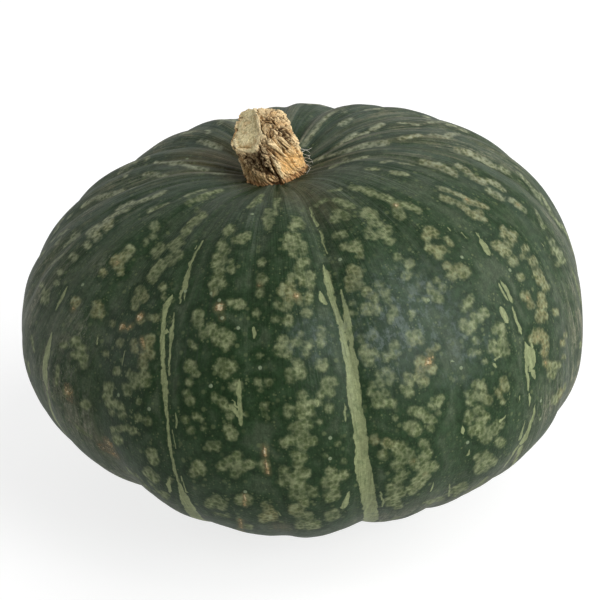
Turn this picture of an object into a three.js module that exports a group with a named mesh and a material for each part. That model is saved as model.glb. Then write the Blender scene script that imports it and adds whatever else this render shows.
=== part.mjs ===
import * as THREE from 'three';

// A kabocha squash with its cut stem, in millimetres, +Z up.
// The fruit grew as one piece, so it is one solid. The stem is a corky stalk of its own, in a second solid.
// The origin is on the surface that the fruit rests on, under the middle of the fruit's outline.
// Angles round the fruit start at the front, -Y, and grow towards +X.

// The fruit: the widest ring, the rise above it and the drop below it, and how the rings close up.
const fruitRadius = 90;
const fruitRise = 57.6;
const fruitDrop = 53.9;
const upperFullness = 0.78;
const lowerFullness = 0.89;

// Where the stem's pole and the blossom's pole stand off the axis of the widest ring.
const stemPole = { x: -7.4, y: 2.7 };
const blossomPole = { x: 2.6, y: 1.8 };
const poleBend = 1.5;

// The hollow that the stem grows from, and the flat spot that the fruit rests on.
const hollowDepth = 9;
const hollowWidth = 24;
const restRadius = 16;

// The fruit isn't a true round: its outline is a little oval, and its right shoulder stands higher.
const ovalCos = 0.004;
const ovalSin = -0.008;
const threeSidedCos = 0.006;
const threeSidedSin = -0.012;
const bodySlope = { x: -0.024, y: 0.016 };
const shoulderSlope = { x: 0.211, y: -0.027 };
const shoulderPower = 0.8;

// Ten seams part the ten lobes. Each seam has its own depth, and each lobe its own swelling, in millimetres.
const seamAngles = [13, 54.5, 92, 127, 161, 196, 228, 262, 295, 332.5];
const seamDepths = [5.0, 2.0, 4.0, 3.0, 5.0, 2.0, 3.8, 4.1, 2.3, 1.8];
const lobeSwellings = [-0.7, -1.3, -0.3, 0, 0.6, 1.2, 0, -0.2, -3.5, 0.9];
const archPower = 2.6;
const seamSoftness = 0.03;

// A shallow fold runs down the middle of each lobe.
const foldDepth = 1.1;
const foldWidth = 0.09;

// Seams and folds are shallower at the widest ring than above and below it. They fade out over the last
// stretch to the stem and to the flat spot, and turn with the skin from facing outward to facing up or down.
const reliefAtSide = 0.5;
const upperFade = { reach: 45, power: 1.5 };
const lowerFade = 30;
const turnPower = 1.2;

// The stem: a stubby cone that leans to the left, cut off by a slanting face on its left front side.
const stemFootRadius = 9.8;
const stemTopRadius = 8.8;
const stemHeight = 20.9;
const stemLean = { x: -6, y: 0.8 };
const stemBulge = 0.9;
const stemLip = { reach: 0.4, height: 3 };
const stemFlare = { reach: 0.9, height: 2 };
const stemFootPower = 4;
const stemRidges = 5;
const stemRidgeDepth = 0.7;
const cutHeight = 18.5;
const cutSlope = { x: 0.72, y: 0.62 };
const crownCurve = 0.04;
const cutBlend = 0.8;

// The clearance between the stem and the fruit.
const gap = 0.3;

// How finely the surfaces are divided.
const columnsPerLobe = 12;
const fruitRings = 32;
const ringCrowding = 1.2;
const stemColumns = 48;
const stemSideRings = 8;
const stemFaceRings = 4;
const stemFootRings = 2;

const fullTurn = 2 * Math.PI;
const lowestFall = Math.PI - Math.asin((restRadius / fruitRadius) ** (1 / lowerFullness));

function lerp(from, to, share) {
  return from + (to - from) * share;
}

function smooth(share) {
  const s = Math.min(Math.max(share, 0), 1);
  return s * s * (3 - 2 * s);
}

// The angle of a seam, in radians. Past the last seam the count goes on round the fruit.
function seamAngle(index) {
  const count = seamAngles.length;
  const turns = Math.floor(index / count);
  return THREE.MathUtils.degToRad(seamAngles[index % count]) + turns * fullTurn;
}

// The lobe that an angle falls in, and how far across that lobe it lies, from 0 to 1.
function lobeAt(angle) {
  const first = seamAngle(0);
  const turned = first + THREE.MathUtils.euclideanModulo(angle - first, fullTurn);
  let lobe = 0;
  while (lobe < seamAngles.length - 1 && turned >= seamAngle(lobe + 1)) {
    lobe += 1;
  }
  const start = seamAngle(lobe);
  return { lobe, across: Math.min((turned - start) / (seamAngle(lobe + 1) - start), 1) };
}

// How far the skin stands in or out of the smooth form: seams and folds go in, swellings in or out.
function relief(angle, closeness) {
  const { lobe, across } = lobeAt(angle);
  const next = (lobe + 1) % seamAngles.length;
  const nearest = Math.hypot(Math.min(across, 1 - across), seamSoftness);
  const arch = Math.sqrt(1 - Math.max(1 - 2 * nearest, 0) ** archPower);
  const seamDepth = across < 0.5 ? seamDepths[lobe] : seamDepths[next];
  const fold = foldDepth * Math.exp(-(((across - 0.5) / foldWidth) ** 2));
  const swelling = lobeSwellings[lobe] * Math.sin(Math.PI * across) ** 2;
  return swelling - lerp(reliefAtSide, 1, closeness) * ((1 - arch) * seamDepth + fold);
}

// A point of the fruit's skin. The fall runs from 0 at the stem's pole to 1 at the rim of the flat spot.
function fruitPoint(angle, fall) {
  const slant = lowestFall * fall;
  const upper = Math.cos(slant) > 0;
  const closeness = Math.abs(Math.cos(slant));
  const ring = fruitRadius * Math.sin(slant) ** (upper ? upperFullness : lowerFullness);
  const hollow = upper ? hollowDepth * Math.exp(-((ring / hollowWidth) ** 2)) : 0;
  const level = upper ? fruitRise * closeness - hollow : -fruitDrop * closeness;
  const fade = upper
    ? Math.min(ring / upperFade.reach, 1) ** upperFade.power
    : smooth((ring - restRadius) / lowerFade);
  const oval = ovalCos * Math.cos(2 * angle) + ovalSin * Math.sin(2 * angle)
    + threeSidedCos * Math.cos(3 * angle) + threeSidedSin * Math.sin(3 * angle);
  const outward = relief(angle, closeness) * fade;
  const upright = (upper ? 1 : -1) * closeness ** turnPower;
  const radius = ring * (1 + oval * (upper ? 1 : fade)) + outward * Math.sqrt(1 - upright ** 2);
  const x = radius * Math.sin(angle);
  const y = -radius * Math.cos(angle);
  const sloping = upper ? 1 : (1 - closeness ** 2) * fade;
  const shoulder = upper ? closeness ** shoulderPower : 0;
  const z = level + outward * upright
    + sloping * (bodySlope.x * x + bodySlope.y * y)
    + shoulder * (shoulderSlope.x * x + shoulderSlope.y * y);
  const pole = upper ? stemPole : blossomPole;
  const bend = closeness ** poleBend;
  return new THREE.Vector3(x + pole.x * bend, y + pole.y * bend, z);
}

// A closed surface of rings, with one point at the top and one at the bottom. Rings go from the top down.
function ringSurface(columns, top, rings, bottom) {
  const points = [top, ...rings.flat(), bottom];
  const index = [];
  const at = (ring, column) => 1 + ring * columns + (column % columns);
  const last = points.length - 1;
  for (let column = 0; column < columns; column += 1) {
    index.push(0, at(0, column), at(0, column + 1));
    for (let ring = 0; ring < rings.length - 1; ring += 1) {
      index.push(at(ring, column), at(ring + 1, column), at(ring + 1, column + 1));
      index.push(at(ring, column), at(ring + 1, column + 1), at(ring, column + 1));
    }
    index.push(at(rings.length - 1, column), last, at(rings.length - 1, column + 1));
  }
  const geometry = new THREE.BufferGeometry().setFromPoints(points);
  geometry.setIndex(index);
  geometry.computeVertexNormals();
  return geometry;
}

// Columns stand on every seam, and the rings are closer together in the hollow round the stem.
function fruitGeometry() {
  const columns = seamAngles.length * columnsPerLobe;
  const rings = [];
  for (let ring = 1; ring <= fruitRings; ring += 1) {
    const fall = (ring / fruitRings) ** ringCrowding;
    const row = [];
    for (let column = 0; column < columns; column += 1) {
      const lobe = Math.floor(column / columnsPerLobe);
      const across = (column % columnsPerLobe) / columnsPerLobe;
      row.push(fruitPoint(lerp(seamAngle(lobe), seamAngle(lobe + 1), across), fall));
    }
    rings.push(row);
  }
  const restLevel = rings[fruitRings - 1][0].z;
  const bend = Math.abs(Math.cos(lowestFall)) ** poleBend;
  const rest = new THREE.Vector3(blossomPole.x * bend, blossomPole.y * bend, restLevel);
  return ringSurface(columns, fruitPoint(0, 0), rings, rest);
}

// The stem's top, above the pole: a slanting cut on the left and a slightly domed crown on the right.
function stemTopHeight(x, y) {
  const cut = cutHeight + cutSlope.x * x + cutSlope.y * y;
  const crown = stemHeight - crownCurve * (x * x + y * y);
  return -cutBlend * Math.log(Math.exp(-cut / cutBlend) + Math.exp(-crown / cutBlend));
}

// The height of the stem's top at a share of the way from its middle to its bark.
function rimHeight(angle, spread) {
  const reach = stemTopRadius * spread;
  return stemTopHeight(reach * Math.sin(angle), -reach * Math.cos(angle));
}

// A point of the stem's outside at a height above the pole. Spread is 1 at the bark and 0 on the middle line.
function stemPoint(pole, angle, height, spread) {
  const share = height / stemHeight;
  const flare = stemFlare.reach * Math.exp(-height / stemFlare.height);
  const bulge = stemBulge * Math.sin(Math.PI * THREE.MathUtils.clamp(share, 0, 1));
  const belowRim = rimHeight(angle, 1) - height;
  const leftward = Math.max(-Math.sin(angle), 0) ** 2;
  const lip = stemLip.reach * leftward * Math.exp(-((belowRim / stemLip.height) ** 2));
  const ridge = stemRidgeDepth * Math.cos(stemRidges * angle + share) * smooth(2 * share);
  const cone = lerp(stemFootRadius - stemFlare.reach, stemTopRadius, share);
  const radius = (cone + flare + bulge + ridge + lip) * spread;
  return new THREE.Vector3(
    pole.x + stemLean.x * share + radius * Math.sin(angle),
    pole.y + stemLean.y * share - radius * Math.cos(angle),
    pole.z + height,
  );
}

// The underside follows the fruit's skin, the sides climb from there, and the rings close over the top.
function stemGeometry() {
  const pole = fruitPoint(0, 0);
  const underside = (angle, radius) => {
    const fall = Math.asin((radius / fruitRadius) ** (1 / upperFullness)) / lowestFall;
    return fruitPoint(angle, fall).add(new THREE.Vector3(0, 0, gap));
  };
  const angles = Array.from({ length: stemColumns }, (_, column) => fullTurn * column / stemColumns);
  const rings = [];
  for (let ring = 1; ring <= stemFaceRings; ring += 1) {
    const spread = ring / stemFaceRings;
    rings.push(angles.map((angle) => stemPoint(pole, angle, rimHeight(angle, spread), spread)));
  }
  for (let ring = 1; ring <= stemSideRings; ring += 1) {
    const down = ring / stemSideRings;
    rings.push(angles.map((angle) => {
      const foot = underside(angle, stemFootRadius);
      const height = lerp(rimHeight(angle, 1), foot.z - pole.z, down);
      return stemPoint(pole, angle, height, 1).lerp(foot, down ** stemFootPower);
    }));
  }
  for (let ring = stemFootRings - 1; ring > 0; ring -= 1) {
    const radius = stemFootRadius * ring / stemFootRings;
    rings.push(angles.map((angle) => underside(angle, radius)));
  }
  const topPoint = stemPoint(pole, 0, rimHeight(0, 0), 0);
  return ringSurface(stemColumns, topPoint, rings, underside(0, 0));
}

const skin = new THREE.MeshStandardMaterial({ color: 0x2f3c29, roughness: 0.5, metalness: 0 });
const cork = new THREE.MeshStandardMaterial({ color: 0xa4865c, roughness: 0.9, metalness: 0 });

const fruit = fruitGeometry();
const stem = stemGeometry();

// The middle of the fruit's outline moves over the origin, and its flat spot onto the surface.
fruit.computeBoundingBox();
const middle = fruit.boundingBox.getCenter(new THREE.Vector3());
const shift = new THREE.Vector3(-middle.x, -middle.y, -fruit.boundingBox.min.z);

const fruitMesh = new THREE.Mesh(fruit, skin);
fruitMesh.name = 'squash_body';
fruitMesh.position.copy(shift);

const stemMesh = new THREE.Mesh(stem, cork);
stemMesh.name = 'stem';
stemMesh.position.copy(shift);

const group = new THREE.Group();
group.add(fruitMesh, stemMesh);

export default group;
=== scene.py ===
# The looks of a kabocha squash: a lobed dark green fruit with pale clouds and stripes, and a corky cut stem.
# Lengths are in millimetres until a mesh is made. Angles round the fruit start at the front, -Y, towards +X.
from functools import partial, reduce
import bpy
import numpy as np
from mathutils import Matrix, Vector


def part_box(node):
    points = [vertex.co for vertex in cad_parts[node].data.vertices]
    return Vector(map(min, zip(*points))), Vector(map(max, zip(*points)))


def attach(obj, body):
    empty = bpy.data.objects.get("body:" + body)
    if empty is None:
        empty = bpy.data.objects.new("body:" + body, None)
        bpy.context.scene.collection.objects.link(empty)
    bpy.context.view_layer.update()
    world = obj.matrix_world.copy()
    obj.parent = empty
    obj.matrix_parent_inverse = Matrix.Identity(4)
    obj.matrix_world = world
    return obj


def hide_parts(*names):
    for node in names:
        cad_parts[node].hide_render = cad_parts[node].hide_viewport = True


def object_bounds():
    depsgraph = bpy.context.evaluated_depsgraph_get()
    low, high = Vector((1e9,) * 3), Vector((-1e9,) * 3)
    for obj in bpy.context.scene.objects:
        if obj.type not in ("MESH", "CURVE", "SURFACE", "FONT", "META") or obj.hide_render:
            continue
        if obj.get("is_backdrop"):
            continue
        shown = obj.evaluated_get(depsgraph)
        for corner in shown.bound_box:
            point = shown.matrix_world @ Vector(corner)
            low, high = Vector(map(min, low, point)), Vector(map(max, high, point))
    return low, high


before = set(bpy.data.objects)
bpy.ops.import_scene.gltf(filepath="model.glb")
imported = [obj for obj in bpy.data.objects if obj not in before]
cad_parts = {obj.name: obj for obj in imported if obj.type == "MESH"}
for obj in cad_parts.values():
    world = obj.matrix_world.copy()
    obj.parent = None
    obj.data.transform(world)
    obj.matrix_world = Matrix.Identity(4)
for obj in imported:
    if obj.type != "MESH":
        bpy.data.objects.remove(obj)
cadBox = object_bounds()
mm = 0.001
fullTurn = 2 * np.pi

# The camera stands where the photograph was taken from, so that a pixel of the photograph can be put on the
# fruit.
view = {
    "photoSide": 600,  # pixels along each side of the photograph
    "place": (-0.8, -705.7, 428.9),
    "aim": (-1.0, 3.45, 58.5),
    "lens": 151.6,
    "sensor": 36.0,
    "nearest": 0.05,  # metres, as is the next
    "farthest": 40.0,
}


def placed(name, data):
    # a new object in the scene that shows these data
    made = bpy.data.objects.new(name, data)
    bpy.context.scene.collection.objects.link(made)
    return made


def lookFrom(made, place, aim):
    # stands a camera or a light at a place, in metres, and turns it to its aim
    made.location = place
    made.rotation_mode = "QUATERNION"
    made.rotation_quaternion = (Vector(aim) - Vector(place)).to_track_quat("-Z", "Y")


def makeCamera():
    data = bpy.data.cameras.new("camera")
    data.lens = view["lens"]
    data.sensor_width = view["sensor"]
    data.clip_start = view["nearest"]
    data.clip_end = view["farthest"]
    made = placed("camera", data)
    lookFrom(made, Vector(view["place"]) * mm, Vector(view["aim"]) * mm)
    bpy.context.scene.camera = made
    return made


camera = makeCamera()
cameraTurn = np.array(camera.rotation_quaternion.to_matrix())
cameraPlace = np.array(view["place"])
print("camera made")


def toPhoto(points):
    # pixel = middle of the photograph + focal length in pixels * sideways distance / depth
    seen = (points - cameraPlace) @ cameraTurn
    focal = view["lens"] / view["sensor"] * view["photoSide"]
    middle = view["photoSide"] / 2
    across = middle - focal * seen[..., 0] / seen[..., 2]
    down = middle + focal * seen[..., 1] / seen[..., 2]
    return np.stack([across, down], axis=-1)


def smoothShare(share):
    # 3s^2 - 2s^3 of the share held between 0 and 1
    s = np.clip(share, 0, 1)
    return s * s * (3 - 2 * s)


def gently(value, start, over):
    # a smooth step from 0 at the start to 1 at this much over it
    return smoothShare((value - start) / over)


def mix(first, second, share):
    return first + (second - first) * share


def lengths(steps):
    return np.linalg.norm(steps, axis=-1)


def unit(vectors):
    # each vector divided by its length
    return vectors / np.maximum(lengths(vectors), 1e-9)[..., None]


def latticeValue(x, y, z, seed):
    # a number from 0 to 1 for each whole place, from its bits mixed together by large odd numbers
    mixed = x * 374761393 + y * 668265263 + z * 2147483629 + seed * 974634777
    mixed = (mixed ^ (mixed >> 13)) & 0xFFFFFFFF
    mixed = (mixed * 1274126177) & 0xFFFFFFFF
    mixed = mixed ^ (mixed >> 16)
    return (mixed & 0xFFFF) / 65535


def softNoise(x, y, z, seed):
    # values at whole places, blended smoothly in between, from -1 to 1
    base = [np.floor(c).astype(np.int64) for c in (x, y, z)]
    share = [smoothShare(c - b) for c, b in zip((x, y, z), base)]
    found = 0
    for dx in (0, 1):
        for dy in (0, 1):
            for dz in (0, 1):
                weight = np.abs(1 - dx - share[0]) * np.abs(1 - dy - share[1]) * np.abs(1 - dz - share[2])
                found = found + weight * latticeValue(base[0] + dx, base[1] + dy, base[2] + dz, seed)
    return 2 * found - 1


def layeredNoise(places, seed, layers=2):
    # soft noise, with layers of twice the fineness and half the strength each
    x, y, z = np.moveaxis(places, -1, 0)
    found = 0
    for layer in range(layers):
        scale = 2 ** layer
        found = found + softNoise(x * scale, y * scale, z * scale, seed + layer) / scale
    return found / (2 - 2 ** (1 - layers))


def cells(places, seed):
    # distances to the nearest and second nearest of the points strewn one to each whole place, and a number
    # from 0 to 1 that belongs to the nearest
    x, y, z = np.moveaxis(places, -1, 0)
    base = [np.floor(c).astype(np.int64) for c in (x, y, z)]
    nearest = np.full(x.shape, 9.0)
    second = np.full(x.shape, 9.0)
    own = np.zeros(x.shape)
    for dx in (-1, 0, 1):
        for dy in (-1, 0, 1):
            for dz in (-1, 0, 1):
                place = [b + d for b, d in zip(base, (dx, dy, dz))]
                point = [p + latticeValue(*place, seed + k) for k, p in enumerate(place)]
                away = np.sqrt((point[0] - x) ** 2 + (point[1] - y) ** 2 + (point[2] - z) ** 2)
                second = np.minimum(second, np.maximum(nearest, away))
                own = np.where(away < nearest, latticeValue(*place, seed + 5), own)
                nearest = np.minimum(nearest, away)
    return nearest, second, own


# The fruit's form repeats the solid's own sizes, in millimetres and degrees.
fruit = {
    "radius": 90.0, "rise": 57.6, "drop": 53.9, "upperFullness": 0.78, "lowerFullness": 0.89,
    "stemPole": (-7.4, 2.7), "blossomPole": (2.6, 1.8), "poleBend": 1.5,
    "hollowDepth": 9.0, "hollowWidth": 24.0, "restRadius": 16.0,
    "ovalCos": 0.004, "ovalSin": -0.008, "threeSidedCos": 0.006, "threeSidedSin": -0.012,
    "bodySlope": (-0.024, 0.016), "shoulderSlope": (0.211, -0.027), "shoulderPower": 0.8,
    "seamAngles": (13, 54.5, 92, 127, 161, 196, 228, 262, 295, 332.5),
    "seamDepths": (5.0, 2.0, 4.0, 3.0, 5.0, 2.0, 3.8, 4.1, 2.3, 1.8),
    "lobeSwellings": (-0.7, -1.3, -0.3, 0, 0.6, 1.2, 0, -0.2, -3.5, 0.9),
    "archPower": 2.6, "seamSoftness": 0.03, "foldDepth": 1.1, "foldWidth": 0.09,
    "reliefAtSide": 0.5, "upperReach": 45.0, "upperPower": 1.5, "lowerReach": 30.0, "turnPower": 1.2,
}
seamAngles = np.array(fruit["seamAngles"], float)
seamEnds = np.append(seamAngles, seamAngles[0] + 360)
lobeCount = len(seamAngles)
restShare = (fruit["restRadius"] / fruit["radius"]) ** (1 / fruit["lowerFullness"])
lowestSlant = np.pi - np.arcsin(restShare)


# Seams sway on their way down. Each row holds one seam's turns, in radians, at these falls.
swayFalls = np.linspace(0, 1, 101)
sways = np.zeros((lobeCount + 1, swayFalls.size))


def seamsAt(fall):
    # the angle of every seam at a fall: its own angle and its sway
    turns = [np.interp(fall, swayFalls, sway) for sway in sways]
    return np.radians(seamEnds) + np.stack(turns, axis=-1)


def lobeAt(angle, fall):
    # the lobe that an angle falls in, and the share of the way across it
    seams = seamsAt(fall)
    turned = (angle - seams[..., 0]) % fullTurn + seams[..., 0]
    lobe = np.clip(np.sum(turned[..., None] >= seams, axis=-1) - 1, 0, lobeCount - 1)
    start = np.take_along_axis(seams, lobe[..., None], axis=-1)[..., 0]
    end = np.take_along_axis(seams, lobe[..., None] + 1, axis=-1)[..., 0]
    return lobe, (turned - start) / (end - start)


def relief(lobe, across, closeness):
    # lobes arch between their seams, with a shallow fold down the middle and a swelling of their own
    following = (lobe + 1) % lobeCount
    nearest = np.hypot(np.minimum(across, 1 - across), fruit["seamSoftness"])
    arch = np.sqrt(1 - np.maximum(1 - 2 * nearest, 0) ** fruit["archPower"])
    depths = np.array(fruit["seamDepths"])
    depth = np.where(across < 0.5, depths[lobe], depths[following])
    fold = fruit["foldDepth"] * np.exp(-(((across - 0.5) / fruit["foldWidth"]) ** 2))
    swelling = np.array(fruit["lobeSwellings"])[lobe] * np.sin(np.pi * across) ** 2
    return swelling - mix(fruit["reliefAtSide"], 1, closeness) * ((1 - arch) * depth + fold)


def axisAt(fall):
    # how far the bent axis of the fruit lies to the side at a fall: a pole's own place * closeness ** bend
    level = np.cos(lowestSlant * fall)[..., None]
    pole = np.where(level > 0, fruit["stemPole"], fruit["blossomPole"])
    return pole * np.abs(level) ** fruit["poleBend"]


def fruitForm(angle, fall, lobe, across):
    # a flattened ball of rings: each ring's radius and level follow the slant, which runs from the stem's
    # pole down to the rim of the flat spot; an oval outline, the relief and a lopsided shoulder lie over it
    slant = lowestSlant * fall
    upper = np.cos(slant) > 0
    closeness = np.abs(np.cos(slant))
    fullness = np.where(upper, fruit["upperFullness"], fruit["lowerFullness"])
    ring = fruit["radius"] * np.abs(np.sin(slant)) ** fullness
    hollow = fruit["hollowDepth"] * np.exp(-((ring / fruit["hollowWidth"]) ** 2))
    level = np.where(upper, fruit["rise"] * closeness - hollow, -fruit["drop"] * closeness)
    upperFade = np.minimum(ring / fruit["upperReach"], 1) ** fruit["upperPower"]
    lowerFade = gently(ring, fruit["restRadius"], fruit["lowerReach"])
    fade = np.where(upper, upperFade, lowerFade)
    oval = (fruit["ovalCos"] * np.cos(2 * angle) + fruit["ovalSin"] * np.sin(2 * angle)
            + fruit["threeSidedCos"] * np.cos(3 * angle) + fruit["threeSidedSin"] * np.sin(3 * angle))
    outward = relief(lobe, across, closeness) * fade
    upright = np.where(upper, 1, -1) * closeness ** fruit["turnPower"]
    radius = ring * (1 + oval * np.where(upper, 1, fade)) + outward * np.sqrt(1 - upright ** 2)
    x = radius * np.sin(angle)
    y = -radius * np.cos(angle)
    sloping = np.where(upper, 1, (1 - closeness ** 2) * fade)
    shoulder = np.where(upper, closeness ** fruit["shoulderPower"], 0)
    body = fruit["bodySlope"][0] * x + fruit["bodySlope"][1] * y
    tilt = fruit["shoulderSlope"][0] * x + fruit["shoulderSlope"][1] * y
    z = level + outward * upright + sloping * body + shoulder * tilt
    axis = axisAt(fall)
    return np.stack([x + axis[..., 0], y + axis[..., 1], z], axis=-1)


bodyBox = [np.array(corner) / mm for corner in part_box("squash_body")]


def findShift():
    # the middle of the plain form's outline goes over that of the solid's box, and its lowest ring to z = 0
    angle, fall = np.meshgrid(np.arange(0, fullTurn, np.radians(1)), np.linspace(0.3, 1, 141))
    points = fruitForm(angle, fall, *lobeAt(angle, fall)).reshape(-1, 3)
    low, high = bodyBox
    middle = (points.min(axis=0) + points.max(axis=0)) / 2
    wanted = (low + high) / 2
    return np.array([wanted[0] - middle[0], wanted[1] - middle[1], low[2] - points[:, 2].min()])


shift = findShift()


def onFruit(angle, fall):
    return fruitForm(angle, fall, *lobeAt(angle, fall)) + shift


stemPlace = onFruit(np.array(0.0), np.array(0.0))  # the pole that the stem stands on


def ringMiddle(fall):
    # where the bent axis crosses the ring at a fall
    return axisAt(fall) + shift[:2]


def outwardNormals(points):
    # cross product of the steps along the columns and along the rings of a grid that closes round
    alongRing = np.roll(points, -1, axis=1) - np.roll(points, 1, axis=1)
    downward = np.gradient(points, axis=0)
    return unit(np.cross(downward, alongRing))


def facing(points, normals):
    # cosine of the angle between the surface's normal and the way to the camera
    return np.sum(normals * unit(cameraPlace - points), axis=-1)


# How a pixel's place on the fruit is found.
finding = {
    "degreesApart": 1.5,  # of the coarse grid
    "rings": 81,
    "facing": 0.03,  # of the places that count as seen
    "tries": 3,
    "step": 1e-3,  # of angle and of fall, by which the pixel's move is found
    "longestTurn": 0.02,
    "longestFall": 0.01,
    "flattest": 1e3,  # least determinant of the two equations
}


def lookAtFruit():
    # a coarse grid of places that face the camera, with their pixels
    degrees = np.arange(0, 360, finding["degreesApart"])
    angle, fall = np.meshgrid(np.radians(degrees), np.linspace(0.02, 0.98, finding["rings"]))
    points = onFruit(angle, fall)
    seen = facing(points, outwardNormals(points)) > finding["facing"]
    return angle[seen], fall[seen], toPhoto(points)[seen]


def placeOnFruit(pixels):
    # the nearest place of the coarse grid, then short steps onto the pixel: how a pixel moves with the angle
    # and with the fall gives two equations for each step; the pixels are rows, or across and down in turn
    pixels = np.asarray(pixels, float)
    pixels = pixels.reshape(-1, 2) if pixels.ndim == 1 else pixels[:, :2]
    best = lengths(seenPlaces[2][None] - pixels[:, None]).argmin(axis=1)
    angle, fall = seenPlaces[0][best], seenPlaces[1][best]
    step, flattest = finding["step"], finding["flattest"]
    for _ in range(finding["tries"]):
        here = toPhoto(onFruit(angle, fall))
        byAngle = (toPhoto(onFruit(angle + step, fall)) - here) / step
        byFall = (toPhoto(onFruit(angle, fall + step)) - here) / step
        missing = pixels - here
        size = byAngle[:, 0] * byFall[:, 1] - byAngle[:, 1] * byFall[:, 0]
        size = np.where(np.abs(size) < flattest, flattest * np.sign(size) + (size == 0), size)
        turn = (missing[:, 0] * byFall[:, 1] - missing[:, 1] * byFall[:, 0]) / size
        drop = (missing[:, 1] * byAngle[:, 0] - missing[:, 0] * byAngle[:, 1]) / size
        angle = angle + np.clip(turn, -finding["longestTurn"], finding["longestTurn"])
        fall = fall + np.clip(drop, -finding["longestFall"], finding["longestFall"])
    return angle, np.clip(fall, 0.01, 0.995)


seenPlaces = lookAtFruit()
print("form placed, shift", shift.round(3))

# The seams that the photograph shows, by their number in seamAngles: pixels down the middle of each groove.
seamPaths = {
    8: [(67, 287), (60, 301), (54, 320), (50, 340), (46, 358), (44, 375), (47, 392)],
    9: [(203, 241), (196, 252), (190, 266), (185, 280), (180, 292), (174, 305), (169, 318), (166, 332),
        (165, 350), (165, 370), (165, 390), (166, 407), (168, 422), (169, 438), (171, 452), (174, 463),
        (178, 477), (182, 489), (186, 499), (191, 509), (198, 518)],
    0: [(311, 208), (317, 226), (323, 240), (326, 256), (327, 271), (329, 286), (333, 302), (339, 316),
        (344, 330), (347, 345), (350, 360), (352, 375), (354, 390), (356, 407), (359, 423), (361, 440),
        (363, 460), (366, 480), (368, 500), (370, 517)],
    1: [(477, 233), (484, 245), (490, 256), (498, 274), (505, 289), (512, 305), (518, 324), (525, 340),
        (529, 352), (530, 364), (530, 380), (530, 394), (531, 408), (529, 421), (526, 432), (521, 443),
        (515, 455), (507, 467)],
}

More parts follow.
